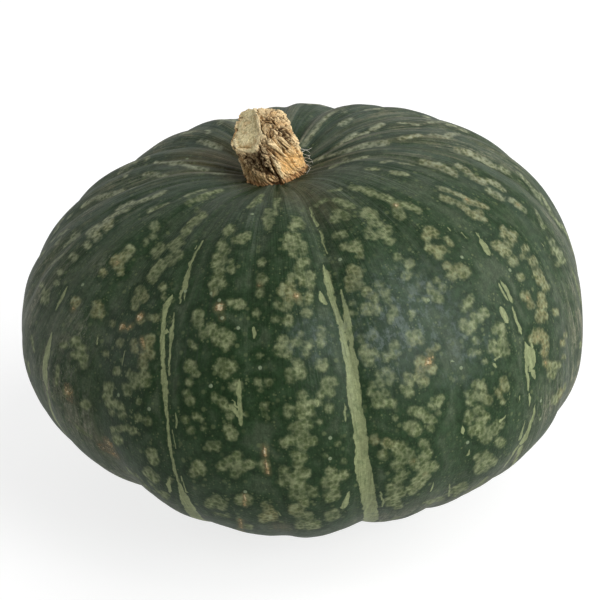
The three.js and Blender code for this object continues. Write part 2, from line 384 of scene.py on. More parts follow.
# Crisp pale strokes by the seams: pixels with the stroke's full width in millimetres there.
stripeStrokes = {
    "leftSeam": [
        [(67.5, 286, 0.6), (62, 297, 2.4), (55.5, 310, 0.6)],
        [(52, 332, 1.0), (49, 345, 3.0), (46, 358, 3.8), (44.5, 372, 4.4), (45, 382, 3.6), (47.5, 393, 0.6)],
    ],
    "middleLeftSeam": [
        [(204, 240, 0.5), (196, 252, 0.9), (190, 266, 1.2), (186, 280, 1.9), (183.5, 290, 2.0)],
        [(182, 289, 1.0), (180.5, 300, 0.8), (179.5, 304, 0.4)],
        [(185.5, 289, 1.0), (184.5, 300, 0.5)],
        [(197, 244, 0.6), (194, 250, 0.6)],
        [(172.5, 294, 0.8), (168.5, 301, 1.9), (165, 310, 1.8), (163.5, 320, 1.6), (163, 330, 1.8),
         (162.5, 340, 1.4), (162, 350, 1.6), (162.5, 360, 1.2), (163, 370, 1.5), (164.5, 380, 2.3),
         (165, 390, 1.9), (165.2, 400, 1.7), (165.8, 410, 1.5), (167.5, 420, 0.9), (169, 432, 1.1),
         (169.3, 442, 1.3), (171, 452, 1.3), (173.5, 461, 1.4), (175.5, 470, 1.1), (178.5, 480, 0.9),
         (181.5, 489, 1.6), (184.5, 496, 3.0), (187, 502, 3.8), (191, 509, 4.2), (196.5, 516, 4.2),
         (204, 523, 4.0)],
        [(174.5, 311, 0.4), (173.5, 322, 0.8), (171.5, 331, 1.8), (170.5, 342, 1.0), (169.6, 352, 0.8),
         (168.8, 365, 0.9), (169.3, 377, 0.8)],
        [(167, 330, 2.2), (166.5, 333, 2.2)],
        [(173, 430, 0.4), (174.5, 440, 0.6), (175.5, 449, 0.3)],
        [(181, 474, 0.4), (184, 484, 0.7), (187, 492, 1.0)],
        [(175, 411, 0.4), (177, 420, 1.1), (175.5, 429, 0.7)],
        [(169, 477, 0.5), (169, 485, 1.8), (171, 493, 1.2)],
    ],
    "middleSeam": [
        [(310, 206, 0.4), (314, 219, 0.6), (318, 227, 1.3)],
        [(320, 230, 0.5), (323, 238, 0.8), (325, 248, 0.7), (327, 256, 0.4)],
        [(324, 265, 0.5), (326.5, 275, 2.3), (328.5, 285, 2.5), (331, 295, 2.2), (334, 305, 1.8),
         (337.5, 315, 1.7), (341.5, 325, 2.2)],
        [(340.5, 289, 0.4), (343.5, 300, 1.2), (346.5, 310, 1.6), (347, 320, 1.9), (346, 327, 2.6)],
        [(344, 325, 3.6), (346, 335, 3.9), (347.5, 345, 3.7), (349.5, 355, 3.7), (351.5, 365, 3.7),
         (352.5, 375, 4.0), (353, 385, 4.5), (353.5, 395, 4.3), (355, 405, 4.4), (357.5, 415, 4.0),
         (359.5, 425, 4.0), (361, 440, 4.0), (361.8, 450, 4.1), (362, 460, 4.8), (363.5, 470, 5.0),
         (366.2, 480, 4.7), (367.3, 490, 4.7), (368.8, 500, 4.5), (370.8, 510, 4.4), (370.5, 520, 4.8)],
        [(343.5, 403, 0.4), (345.5, 412, 0.9), (344.5, 423, 0.6)],
        [(320, 291, 0.8), (322, 298, 2.2), (326, 305, 1.0)],
        [(380, 491, 0.5), (383, 500, 0.9), (382, 508, 0.6)],
    ],
    "rightSeam": [
        [(476, 232, 1.2), (479, 237, 1.3)],
        [(480, 239, 1.9), (484, 246, 2.3), (489, 255, 2.1)],
        [(498, 283, 1.0), (502, 292, 1.2), (508, 301, 1.0)],
        [(501, 280, 1.2), (506, 289, 1.6), (512, 302, 1.6)],
        [(501, 308, 2.3), (504, 315, 2.8), (507.5, 322, 2.4)],
        [(511.5, 306, 0.9), (516, 319, 1.3), (521, 333, 1.7)],
        [(525, 341, 0.9), (526.5, 347, 1.6), (528.5, 351, 4.4), (529.5, 354, 5.2), (530, 362, 5.6),
         (531, 368, 5.0)],
        [(531, 343, 0.8), (532.5, 349, 1.2)],
        [(533, 370, 2.2), (535.5, 380, 0.8)],
        [(526.8, 368, 1.3), (528, 378, 1.3), (529, 388, 1.2), (529.5, 392, 0.6)],
        [(529.5, 392, 0.6), (530, 400, 1.2), (529.5, 407, 0.8)],
        [(536, 403, 0.4), (534, 412, 1.4), (531, 424, 1.9), (527, 434, 2.2), (522, 443, 4.0)],
        [(525.5, 420, 0.5), (523, 430, 1.1), (520, 440, 2.0)],
        [(518, 446, 2.4), (512, 456, 1.4), (503, 468, 1.4)],
        [(521, 447, 2.4), (517, 458, 1.6), (511, 467, 1.4)],
    ],
    "betweenSeams": [
        [(446, 226, 0.4), (452, 232, 0.6)], [(461, 232, 0.4), (465, 236, 0.8), (468, 240, 0.5)],
        [(540, 241, 0.4), (544, 247, 0.5)], [(568, 300, 0.4), (570, 308, 0.5)],
        [(62, 234, 0.4), (70, 229, 0.5)], [(44, 276, 0.3), (52, 268, 0.5)],
        [(254, 326, 0.7), (254.5, 333, 1.5), (254, 340, 0.5)],
        [(98, 335, 0.6), (97.5, 341, 1.8), (97.5, 346, 0.7)], [(125, 350, 0.4), (122, 367, 0.5)],
        [(463, 426, 1.0), (463.5, 434, 1.8)], [(470, 450, 0.6), (468, 456, 1.2)],
        [(434, 481, 0.4), (433, 487, 0.9), (430, 493, 0.4)], [(501, 355, 0.4), (494, 361, 0.9)],
        [(492.5, 362, 1.2), (497, 368, 0.6)], [(507, 415, 0.4), (500, 422, 1.4)],
        [(277, 509, 0.3), (281, 516, 0.8)], [(520, 395, 0.5), (520, 402, 0.7)],
        [(450, 484, 0.5), (449, 497, 1.0)], [(349, 491, 0.6), (346.5, 499, 2.4), (343, 508, 2.2)],
        [(317, 400, 1.0), (317, 406, 1.6)],
        [(239, 378, 0.8), (239, 390, 1.4), (240, 405, 1.6), (241, 420, 1.6), (241.5, 427, 0.6)],
        [(228, 405, 0.8), (234, 410, 1.8), (240, 416, 1.6)],
    ],
}

# Dark slits in the stripes, given in the same way.
slitStrokes = [
    [(165.3, 333, 0.5), (166.6, 345, 0.7), (166.8, 358, 0.6), (167, 368, 0.5), (167.8, 377, 0.4)],
    [(348.5, 340, 0.7), (348.3, 346, 0.7)],
    [(345, 331, 0.4), (345, 334, 0.4)],
    [(348, 408, 0.4), (349.5, 421, 0.5)],
    [(528.7, 365, 0.6), (528.7, 373, 0.6)],
    [(182.5, 481, 0.4), (185, 491, 0.4)],
    [(165.8, 405, 0.5), (166, 407, 0.5)],
]

# The round lobes that the pale clouds are made of: their middles' pixels, across and down in turn, by their
# radius in millimetres.
cloudLobes = {
    1.0: [
        197, 213, 234, 240, 153, 236, 146, 241, 231, 262, 268, 228, 275, 213, 164, 297, 150, 317, 361, 256,
        301, 334, 368, 230, 367, 236, 380, 224, 447, 239, 451, 244, 429, 285, 436, 280, 425, 300, 463, 277,
        503, 228, 516, 234, 504, 254, 523, 256, 552, 242, 558, 264, 345, 160, 60, 272, 56, 283, 41, 285,
        113, 413, 113, 324, 107, 354, 139, 402, 195, 347, 204, 428, 201, 419, 352, 303, 351, 313, 277, 354,
        261, 390, 265, 414, 259, 356, 245, 414, 284, 309, 326, 456, 344, 461, 338, 444, 264, 504, 468, 333,
        478, 352, 395, 418, 439, 413, 485, 362, 503, 402, 564, 357, 566, 335, 170, 480, 190, 342, 313, 414,
        320, 422, 208, 131, 147, 158,
    ],
    1.35: [
        192, 224, 203, 216, 231, 229, 227, 232, 247, 236, 226, 250, 217, 256, 231, 269, 215, 264, 212, 284,
        214, 291, 231, 302, 242, 304, 136, 300, 135, 306, 163, 287, 155, 318, 141, 320, 269, 213, 301, 225,
        293, 226, 286, 247, 303, 253, 293, 254, 306, 262, 298, 268, 303, 282, 311, 285, 262, 263, 260, 293,
        292, 277, 284, 287, 281, 292, 299, 301, 287, 299, 288, 305, 277, 305, 309, 296, 309, 301, 275, 319,
        289, 318, 256, 313, 346, 216, 334, 219, 336, 236, 343, 234, 344, 247, 359, 250, 357, 243, 349, 288,
        364, 213, 374, 236, 380, 233, 388, 229, 386, 236, 390, 241, 402, 216, 435, 234, 429, 248, 443, 249,
        438, 256, 397, 257, 406, 277, 447, 266, 460, 267, 463, 272, 431, 291, 443, 288, 440, 300, 408, 274,
        412, 313, 379, 285, 388, 300, 391, 320, 470, 299, 464, 309, 505, 234, 511, 234, 513, 240, 508, 252,
        526, 248, 521, 277, 547, 287, 531, 305, 542, 296, 541, 311, 545, 316, 557, 312, 555, 250, 560, 254,
        563, 260, 76, 237, 103, 273, 120, 271, 87, 245, 73, 257, 45, 293, 44, 300, 94, 314, 64, 345,
        82, 348, 76, 355, 84, 365, 110, 404, 117, 404, 122, 408, 123, 415, 117, 371, 120, 343, 126, 387,
        128, 392, 131, 375, 134, 343, 135, 349, 138, 418, 148, 422, 133, 431, 196, 374, 189, 382, 187, 394,
        196, 416, 185, 419, 191, 430, 215, 396, 226, 407, 233, 388, 231, 408, 230, 417, 258, 382, 269, 382,
        264, 406, 308, 346, 306, 354, 291, 380, 324, 391, 320, 395, 317, 402, 288, 408, 287, 414, 292, 427,
        361, 338, 363, 353, 373, 385, 381, 384, 371, 393, 386, 393, 379, 374, 386, 371, 390, 382, 436, 347,
        430, 352, 420, 371, 407, 376, 404, 388, 432, 406, 441, 398, 433, 421, 431, 428, 472, 353, 476, 341,
        476, 385, 468, 394, 470, 402, 468, 421, 477, 412, 495, 330, 503, 333, 490, 349, 492, 343, 504, 380,
        499, 393, 484, 388, 487, 417, 546, 345, 545, 353, 547, 364, 557, 365, 552, 375, 563, 343, 581, 345,
    ],
    1.7: [
        186, 232, 179, 242, 173, 246, 162, 249, 157, 254, 178, 254, 170, 260, 161, 265, 156, 271, 152, 278,
        155, 227, 197, 221, 241, 239, 222, 246, 221, 260, 219, 271, 221, 283, 238, 304, 198, 314, 197, 320,
        140, 291, 143, 297, 268, 220, 297, 222, 289, 238, 296, 238, 295, 246, 302, 247, 302, 264, 301, 275,
        310, 276, 262, 279, 290, 284, 290, 292, 296, 297, 307, 313, 288, 322, 338, 214, 353, 247, 352, 270,
        358, 273, 350, 280, 372, 216, 373, 221, 398, 213, 429, 231, 427, 236, 438, 251, 409, 264, 455, 270,
        452, 276, 466, 272, 436, 297, 367, 292, 374, 297, 384, 293, 377, 310, 394, 312, 467, 304, 475, 317,
        484, 313, 479, 318, 497, 245, 502, 248, 508, 245, 514, 261, 534, 261, 539, 273, 542, 280, 526, 296,
        543, 304, 541, 318, 108, 220, 107, 225, 95, 228, 90, 232, 96, 236, 130, 250, 125, 256, 98, 306,
        100, 313, 76, 302, 76, 342, 83, 358, 67, 392, 85, 405, 109, 387, 108, 396, 137, 378, 145, 376,
        145, 383, 135, 384, 150, 339, 147, 346, 150, 355, 144, 358, 143, 365, 190, 400, 204, 334, 211, 327,
        214, 333, 217, 341, 226, 345, 198, 323, 225, 374, 219, 369, 222, 402, 238, 385, 228, 429, 283, 340,
        280, 347, 289, 345, 297, 342, 287, 354, 322, 332, 321, 342, 298, 364, 290, 373, 333, 382, 330, 392,
        302, 395, 310, 404, 308, 412, 302, 416, 308, 425, 329, 408, 366, 348, 374, 354, 369, 362, 373, 335,
        395, 345, 387, 357, 394, 354, 391, 376, 379, 396, 377, 403, 384, 403, 392, 403, 411, 335, 418, 334,
        420, 340, 412, 341, 410, 382, 409, 393, 418, 378, 424, 381, 432, 369, 438, 402, 413, 411, 421, 413,
        427, 418, 408, 426, 475, 396, 470, 416, 500, 327, 503, 343, 505, 352, 498, 352, 505, 387, 479, 385,
        480, 396, 488, 400, 480, 410, 481, 424, 534, 339, 544, 338, 552, 367, 474, 431, 495, 430, 499, 425,
        165, 495, 151, 453, 154, 460, 198, 465, 202, 470, 195, 472, 211, 446, 217, 446, 237, 456, 228, 462,
        222, 466, 235, 474, 216, 500, 222, 505, 210, 503, 240, 500, 248, 527, 290, 440, 284, 443, 312, 441,
        296, 455, 303, 458, 298, 465, 306, 474, 284, 472, 292, 478, 284, 483, 297, 483, 303, 487, 295, 487,
        294, 495, 301, 496, 313, 493, 304, 502, 294, 509, 299, 513, 308, 517, 300, 524, 310, 525, 316, 524,
        264, 466, 268, 510, 273, 516, 264, 518, 331, 472, 344, 475, 326, 484, 334, 485, 335, 495, 329, 497,
        335, 514, 330, 516, 374, 440, 387, 443, 395, 446, 402, 446, 383, 455, 400, 462, 396, 465, 415, 464,
        424, 444, 427, 453, 424, 458, 434, 467, 402, 475, 398, 480, 391, 488, 400, 492, 390, 502, 398, 506,
        412, 490, 440, 500, 432, 503, 457, 490, 463, 487, 483, 431, 501, 443, 480, 459, 493, 462, 485, 468,
        479, 470, 250, 465, 247, 500, 155, 478, 148, 472, 118, 440, 560, 393, 565, 387, 555, 400,
    ],
    2.1: [
        117, 262, 218, 279, 356, 283, 367, 309, 223, 334, 229, 338, 222, 365, 231, 367, 190, 366, 300, 373,
        322, 365, 327, 383, 302, 408, 300, 427, 302, 434, 366, 356, 421, 362, 414, 428, 465, 325, 470, 326,
        539, 335, 231, 434, 240, 468, 300, 437, 303, 444, 300, 475, 334, 478, 400, 453, 408, 455, 426, 469,
        424, 476, 418, 483, 395, 495, 486, 438, 487, 458, 415, 430,
    ],
}

# Clouds on the upper side, which the camera sees at a slant, are drawn out towards the stem: pixels along
# each, in the same way.
longClouds = {
    1.1: [
        (176, 162, 160, 163), (168, 177, 145, 174), (167, 204, 150, 211), (206, 198, 188, 203),
        (220, 191, 200, 197), (206, 142, 217, 147), (181, 134, 193, 132), (212, 176, 222, 176),
        (278, 199, 276, 207), (262, 196, 252, 206), (340, 190, 331, 191), (325, 200, 317, 205),
        (383, 161, 391, 161), (401, 163, 411, 165), (367, 168, 377, 168), (392, 106, 384, 106),
        (400, 120, 418, 123), (466, 125, 456, 122), (446, 120, 430, 121), (550, 213, 560, 226),
        (536, 212, 543, 228), (335, 146, 350, 138, 366, 131), (352, 150, 368, 144),
        (181, 163, 190, 167, 206, 170), (315, 159, 350, 150), (330, 167, 366, 157),
        (303, 145, 317, 127, 332, 112), (333, 147, 355, 132), (199, 141, 220, 148), (155, 163, 175, 164),
        (573, 270, 577, 283, 580, 295), (581, 300, 585, 312), (66, 246, 78, 235), (51, 265, 63, 255),
        (31, 337, 34, 350), (58, 368, 56, 384), (76, 427, 90, 437), (129, 427, 112, 430),
        (150, 482, 160, 492), (228, 516, 216, 513), (186, 196, 204, 190), (125, 177, 131, 170),
        (503, 190, 495, 184), (447, 495, 463, 487), (425, 503, 440, 498),
    ],
    1.5: [
        (96, 198, 108, 196, 122, 192), (106, 225, 114, 214, 127, 209), (119, 209, 131, 203),
        (133, 188, 139, 183), (153, 197, 163, 192), (133, 203, 146, 199), (82, 206, 94, 199),
        (349, 119, 341, 124), (366, 109, 380, 108), (372, 127, 381, 122), (402, 137, 420, 134),
        (433, 134, 446, 137, 460, 134), (457, 150, 470, 153, 480, 158), (362, 147, 387, 142),
        (423, 162, 436, 165, 447, 170, 454, 174), (459, 166, 468, 172), (394, 171, 405, 173),
        (352, 187, 372, 191), (372, 193, 386, 197, 396, 203), (404, 204, 418, 210),
        (396, 207, 400, 212), (337, 200, 351, 206), (473, 177, 483, 182), (489, 181, 497, 184),
        (489, 191, 501, 198), (475, 202, 486, 206), (512, 201, 524, 210), (501, 168, 507, 172),
        (484, 160, 493, 166), (519, 174, 528, 184), (532, 189, 538, 197), (541, 196, 548, 207),
        (562, 226, 568, 237, 572, 248), (477, 214, 484, 219), (258, 202, 251, 207),
        (367, 210, 366, 214), (474, 216, 480, 212),
    ],
    1.4: [
        (441, 188, 449, 190), (443, 197, 452, 201), (456, 193, 465, 197), (467, 201, 482, 205),
        (460, 204, 466, 208), (470, 213, 482, 218),
    ],
}

# Corky scratches and pale dots, in the same way, and fibrous scabs and corky specks, which are pixels with a
# radius in millimetres.
rustScratches = [
    (264.5, 447, 265, 456), (265.5, 463, 267.5, 474), (245, 495, 244.5, 505), (240.5, 519, 241.5, 528),
    (127, 329, 132, 326), (142, 339, 144, 346), (426, 365, 432, 358),
]
scratchRadius = 0.6
scabs = [(109, 444, 2.6), (113, 452, 2.8), (103, 448, 2.2), (68, 391, 2.2), (69, 399, 1.8)]
rustSpecks = [
    (140, 317, 1.4), (122, 327, 1.2), (219, 307, 1.5), (296, 296, 1.0), (260, 285, 0.6), (429, 361, 1.2),
    (467, 199, 0.8), (396, 205, 0.9), (518, 205, 0.8), (528, 298, 0.7), (538, 337, 0.6), (544, 353, 0.6),
    (546, 363, 0.7), (583, 338, 0.8), (67, 392, 0.8), (109, 443, 1.0), (113, 454, 0.8), (117, 263, 0.7),
    (74, 309, 0.8), (413, 461, 0.5), (425, 474, 0.5), (222, 318, 0.6), (213, 293, 0.5),
]
dotRadius = 0.75
paleDots = [
    211, 293, 219, 300, 225, 313, 222, 318, 238, 328, 245, 492, 119, 395, 463, 248, 510, 270, 330, 438,
    330, 459, 461, 442, 468, 443, 540, 419, 541, 401, 260, 368, 211, 386, 149, 409, 462, 257, 187, 159,
    428, 300, 452, 362, 461, 368, 340, 260, 252, 215, 83, 285, 185, 291,
]

# Soft patches of tint: pixels of their middles, with their radius in millimetres and their strength.
tintPatches = {
    "weathered": [
        (32, 300, 14, 0.7), (56, 250, 11, 0.6), (85, 215, 9, 0.4), (72, 330, 9, 0.5), (46, 380, 13, 0.6),
        (78, 425, 10, 0.6), (100, 262, 6, 0.4), (120, 475, 12, 0.7), (150, 497, 9, 0.5), (577, 260, 14, 0.9),
        (583, 320, 16, 1.0), (574, 380, 15, 0.9), (555, 225, 10, 0.7), (548, 410, 9, 0.7),
        (475, 492, 11, 0.7), (512, 462, 9, 0.6), (425, 508, 11, 0.5), (375, 519, 8, 0.5),
        (450, 135, 14, 0.6), (500, 165, 10, 0.5), (400, 115, 11, 0.5), (155, 150, 12, 0.6),
        (110, 185, 10, 0.5), (350, 150, 9, 0.5),
    ],
    "warm": [
        (545, 268, 10, 0.8), (540, 310, 10, 0.9), (562, 335, 9, 0.8), (541, 345, 8, 1.0), (510, 245, 9, 0.5),
        (478, 210, 11, 0.6), (500, 385, 7, 0.7), (377, 438, 5, 0.8), (428, 360, 6, 0.9), (130, 320, 12, 0.5),
        (97, 310, 9, 0.6), (113, 262, 7, 0.8), (75, 305, 8, 0.7), (140, 345, 7, 0.7), (272, 512, 8, 0.7),
        (350, 276, 8, 0.5), (295, 297, 5, 0.7), (440, 240, 10, 0.4), (180, 470, 8, 0.3), (460, 270, 9, 0.4),
        (150, 160, 20, 0.5), (440, 150, 25, 0.6), (561, 392, 4, 0.9), (107, 225, 5, 0.4),
    ],
    # The next patches are painted sheen, the softbox's soft reflection, with a little of the skin's real
    # wax.
    "bloomAndSheen": [
        (395, 312, 12, 0.8), (386, 342, 8, 0.9), (412, 346, 8, 0.6), (318, 336, 6, 0.9), (303, 343, 5, 0.6),
        (430, 300, 9, 0.4), (470, 345, 9, 0.5), (450, 325, 10, 0.4), (410, 285, 8, 0.5), (455, 370, 9, 0.3),
    ],
    "brown": [
        (205, 160, 8, 0.8), (228, 160, 7, 0.9), (236, 177, 5, 0.7), (175, 160, 7, 0.4), (215, 148, 6, 0.5),
        (280, 526, 3.5, 0.6), (305, 196, 7, 0.6), (330, 208, 7, 0.4), (108, 450, 5, 0.6), (250, 187, 5, 0.5),
        (325, 165, 6, 0.3),
    ],
}

# The skin is one closed grid: columns down the lobes, swaying with the seams, and rings round the fruit.
skin = {
    "columnsByLobe": (62, 56, 50, 42, 42, 42, 42, 50, 56, 62),
    "crowding": 0.15,  # how much closer together the columns are by the seams
    "rings": 186,
    "firstRing": 5.0,  # distance of the first ring from the stem's pole
    "underside": (0.8, 0.05),  # the fall past which the rings grow wider apart, and over how much
    "undersideSpacing": 1.5,
    "flatRings": 8,
    "swayTurn": 1.1,  # degrees, on the seams that the photograph doesn't show
    "swayFrom": 0.2,  # the falls over which the sway grows from the stem's pole, and dies away below
    "swayBefore": 0.15,
    "inset": 0.55,
    "insetReach": 1.6,
    "swellSize": 26.0,
    "swellHeight": 0.45,
    "rippleSize": 6.5,
    "rippleHeight": 0.3,
    "pleatSize": 3.2,
    "pleatHeight": 0.7,
    "pleatReach": 50.0,
    "pleatFrom": 16.0,  # distance from the axis at which they are whole
    "calmReach": 14.0,  # how far round the flat spot the fine relief is held down
    "scarRadius": 5.5,
    "scarDepth": 0.8,
    "seamValley": 5.5,  # half the width of the greyer valley by a seam
    "foldValley": 0.11,  # the same by a lobe's fold, as a share of the lobe
    "foldStrength": 0.6,
    "stemReach": 34.0,
}


def ringFalls():
    # falls that space the rings evenly along a meridian, and wider underneath
    fall = np.linspace(0, 1, 2001)
    line = onFruit(np.full_like(fall, 0.6), fall)
    steps = lengths(np.diff(line, axis=0))
    wider = 1 + (skin["undersideSpacing"] - 1) * gently(fall[1:], *skin["underside"])
    share = np.append(0, np.cumsum(steps / wider))
    along = np.append(0, np.cumsum(steps))
    places = np.interp(np.linspace(skin["firstRing"], share[-1], skin["rings"]), share, fall)
    return places, np.interp(places, fall, along)


def finelySpaced(path, step=4.0):
    # a path of pixels, and what goes with each, with points added about a step apart
    path = np.asarray(path, float)
    passed = np.append(0, np.cumsum(lengths(np.diff(path[:, :2], axis=0))))
    wanted = np.linspace(0, passed[-1], max(int(passed[-1] / step), 1) + 1)
    return np.stack([np.interp(wanted, passed, column) for column in path.T], axis=-1)


def findSways():
    # from the pixels where the photograph shows the seam, and soft noise where it doesn't; none at the poles
    found = np.zeros_like(sways)
    for seam in range(lobeCount):
        if seam in seamPaths:
            angle, fall = placeOnFruit(finelySpaced(seamPaths[seam]))
            turn = (angle - np.radians(seamAngles[seam]) + np.pi) % fullTurn - np.pi
            order = np.argsort(fall)
            found[seam] = np.interp(swayFalls, fall[order], turn[order])
        else:
            swaying = softNoise(5 * swayFalls, 0 * swayFalls, 0 * swayFalls, seam)
            found[seam] = np.radians(skin["swayTurn"]) * swaying
    padded = np.pad(found, ((0, 0), (3, 3)), mode="edge")
    found = np.stack([np.convolve(row, np.ones(7) / 7, mode="valid") for row in padded])
    found *= smoothShare(swayFalls / skin["swayFrom"]) * smoothShare((1 - swayFalls) / skin["swayBefore"])
    found[lobeCount] = found[0]
    return found


sways = findSways()
seenPlaces = lookAtFruit()
print("seams placed")

falls, along = ringFalls()
columnLobe = np.repeat(np.arange(lobeCount), skin["columnsByLobe"])
columnStep = np.concatenate([np.arange(count) / count for count in skin["columnsByLobe"]])
columnShare = columnStep - skin["crowding"] / fullTurn * np.sin(fullTurn * columnStep)
columnSeam = np.where(columnShare < 0.5, columnLobe, columnLobe + 1)


def plainSkin():
    # angles, points and the horizontal distance from the axis, on the grid without its fine relief
    seams = seamsAt(falls)
    angle = mix(seams[:, columnLobe], seams[:, columnLobe + 1], columnShare)
    fall = np.broadcast_to(falls[:, None], angle.shape)
    lobe = np.broadcast_to(columnLobe, angle.shape)
    across = np.broadcast_to(columnShare, angle.shape)
    points = fruitForm(angle, fall, lobe, across) + shift
    return angle, points, lengths(points[..., :2] - ringMiddle(fall))


angleGrid, plainPoints, reachGrid = plainSkin()
plainNormals = outwardNormals(plainPoints)
seamSide = (angleGrid - seamsAt(falls)[:, columnSeam]) * reachGrid  # distance across from the nearest seam
alongGrid = np.broadcast_to(along[:, None], angleGrid.shape)
fallGrid = np.broadcast_to(falls[:, None], angleGrid.shape)
upperGrid = np.cos(lowestSlant * fallGrid) > 0
# round the fruit and down it, in millimetres, so that a pattern stretched down it narrows towards the poles
roundFruit = np.stack([np.sin(angleGrid), -np.cos(angleGrid)], axis=-1) * fruit["radius"]
downFruit = np.concatenate([roundFruit, alongGrid[..., None]], axis=-1)
print("skin grid", plainPoints.shape)


# pleats that run out from under the stem, from -1 in a furrow to 1 on a ridge
pleatGrid = layeredNoise(downFruit / skin["pleatSize"] * (0.35, 0.35, 0.05), 31)


def fineRelief():
    # soft swellings, ripples down the fruit and pleats; pushed in a little where the solid's box is near, so
    # that the skin stays within it
    swell = layeredNoise(plainPoints / skin["swellSize"], 11)
    ripple = layeredNoise(downFruit / skin["rippleSize"] * (1, 1, 0.16), 23)
    nearStem = np.where(upperGrid, np.exp(-((reachGrid / skin["pleatReach"]) ** 2)), 0)
    height = skin["swellHeight"] * swell + skin["rippleHeight"] * ripple
    height += skin["pleatHeight"] * pleatGrid * nearStem * smoothShare(reachGrid / skin["pleatFrom"])
    low, high = bodyBox
    sides = np.minimum(plainPoints - low, high - plainPoints)[..., :2].min(axis=-1)
    room = np.minimum(sides, high[2] - plainPoints[..., 2])
    height -= skin["inset"] * np.exp(-((room / skin["insetReach"]) ** 2))
    underneath = np.where(upperGrid, 1, gently(reachGrid, fruit["restRadius"], skin["calmReach"]))
    return height * underneath


# Each seam's pale strands run beside it. At each ring a strand has a middle, measured across from the seam,
# and half a width, which is below nothing where the strand isn't there.
farOutside = -6.0
seamNames = {"leftSeam": 8, "middleLeftSeam": 9, "middleSeam": 0, "rightSeam": 1}
strand = {
    "atOnce": 6,  # strands side by side at most
    "seamReach": 10.0,
    "fullWidth": 4.0,
    "upperWidth": 1.0,
    "widening": (0.42, 0.25),  # the fall at which it starts, and over how much it goes on
    "narrowing": (0.75, 0.22),
    "narrows": 0.7,  # the share of its width that a strand loses towards the blossom end
    "rowsApart": 3.7,
    "uneven": 0.35,
    "unevenOver": 8.0,  # millimetres along the seam, as for the other lengths here that end in Over
    "breaksOver": 17.0,
    "breakDepth": 5.0,
    "broken": 0.35,  # how broken a strand is near the stem, and how fast it mends on the way down
    "mending": 1.5,
    "bareAbove": 0.2,  # the fall above which a strand thins out
    "wander": 0.9,
    "wanderOver": 22.0,
    "besideBy": 2.6,  # how far the thin second strand runs from the seam
    "besideWander": 0.5,
    "besideOver": 15.0,
    "thin": 0.7,
    "thinOver": 11.0,
    "thinFrom": 40,  # the ring that the second strand starts at
    "inView": (0.02, 0.1),  # how far a hidden seam may face the camera, and over how much it fades
    "hiding": 8.0,  # what a strand's half width loses where it would be in view
    "blending": 0.08,  # the fall over which a shown strand turns into its hidden rest
}
strandMiddle = np.zeros((len(falls), lobeCount, strand["atOnce"]))
strandHalf = np.full((len(falls), lobeCount, strand["atOnce"]), farOutside)


def addStrand(seam, strokeFall, middle, half):
    # a strand with these middles and half widths at these falls, in the first place where nothing is near it
    strokeAlong = np.interp(strokeFall, falls, along)
    order = np.argsort(strokeAlong)
    strokeAlong, middle, half = strokeAlong[order], middle[order], half[order]
    beyond = np.maximum(strokeAlong[0] - along, along - strokeAlong[-1])
    newMiddle = np.interp(along, strokeAlong, middle)
    newHalf = np.interp(along, strokeAlong, half) - 2 * np.maximum(beyond, 0)
    near = beyond < 3
    kept = next(k for k in range(strand["atOnce"]) if strandHalf[near, seam, k].max(initial=-9) < -1)
    better = newHalf > strandHalf[:, seam, kept]
    strandMiddle[better, seam, kept] = newMiddle[better]
    strandHalf[better, seam, kept] = newHalf[better]


def seenStrands():
    for name, seam in seamNames.items():
        for stroke in stripeStrokes[name]:
            spaced = finelySpaced(stroke)
            angle, fall = placeOnFruit(spaced)
            points = onFruit(angle, fall)
            reach = lengths(points[:, :2] - ringMiddle(fall))
            turn = (angle - seamsAt(fall)[:, seam] + np.pi) % fullTurn - np.pi
            addStrand(seam, fall, turn * reach, spaced[:, 2] / 2)


def wavy(row, over, seed):
    # soft noise along a seam, which its row sets apart from the others
    return softNoise(along / over, row, 0 * row, seed)


def hiddenStrands():
    # on the seams that the photograph doesn't show: broken above, wide and whole from half way down, thin
    # again towards the blossom end; the shown seams go on that way past the photograph's reach
    last = np.full(lobeCount, -1.0)
    for name, seam in seamNames.items():
        last[seam] = max(placeOnFruit(stroke)[1].max() for stroke in stripeStrokes[name])
    for seam in range(lobeCount):
        row = np.full_like(along, strand["rowsApart"] * seam)
        narrowing = 1 - strand["narrows"] * gently(falls, *strand["narrowing"])
        wide = gently(falls, *strand["widening"]) * narrowing
        width = mix(strand["upperWidth"], strand["fullWidth"], wide)
        width *= 1 + strand["uneven"] * wavy(row, strand["unevenOver"], 41)
        breaks = wavy(row, strand["breaksOver"], 42) - strand["mending"] * falls + strand["broken"]
        bare = 1 - smoothShare(falls / strand["bareAbove"])
        half = width / 2 - strand["breakDepth"] * np.maximum(breaks, 0) + farOutside * bare
        middle = strand["wander"] * wavy(row, strand["wanderOver"], 43)
        if last[seam] < 0:
            column = np.searchsorted(columnLobe, seam)
            inView = gently(facing(plainPoints[:, column], plainNormals[:, column]), *strand["inView"])
            half -= strand["hiding"] * inView
        else:
            before = np.searchsorted(falls, last[seam]) - 2
            k = strandHalf[before, seam].argmax()
            share = gently(falls, last[seam], strand["blending"])
            middle = mix(strandMiddle[before, seam, k], middle, share)
            half = mix(max(strandHalf[before, seam, k], 0.5), half, share)
        added = falls > last[seam] - 0.005
        if added.sum() > 3:
            addStrand(seam, falls[added], middle[added], half[added])
        if last[seam] < 0:
            side = strand["besideBy"] * np.sign(softNoise(row, row, 0 * row, 44))
            side += strand["besideWander"] * wavy(row, strand["besideOver"], 45)
            thin = strand["thin"] * wavy(row, strand["thinOver"], 46) - 0.15
            thin = np.where(half < farOutside, half, thin)
            thinFrom = strand["thinFrom"]
            addStrand(seam, falls[thinFrom:], side[thinFrom:], thin[thinFrom:])


seenStrands()
hiddenStrands()
farFromSeam = np.maximum(np.abs(seamSide) - strand["seamReach"], 0)[..., None]
strandMiddleGrid = strandMiddle[:, columnSeam % lobeCount]
strandHalfGrid = strandHalf[:, columnSeam % lobeCount] - 2 * farFromSeam


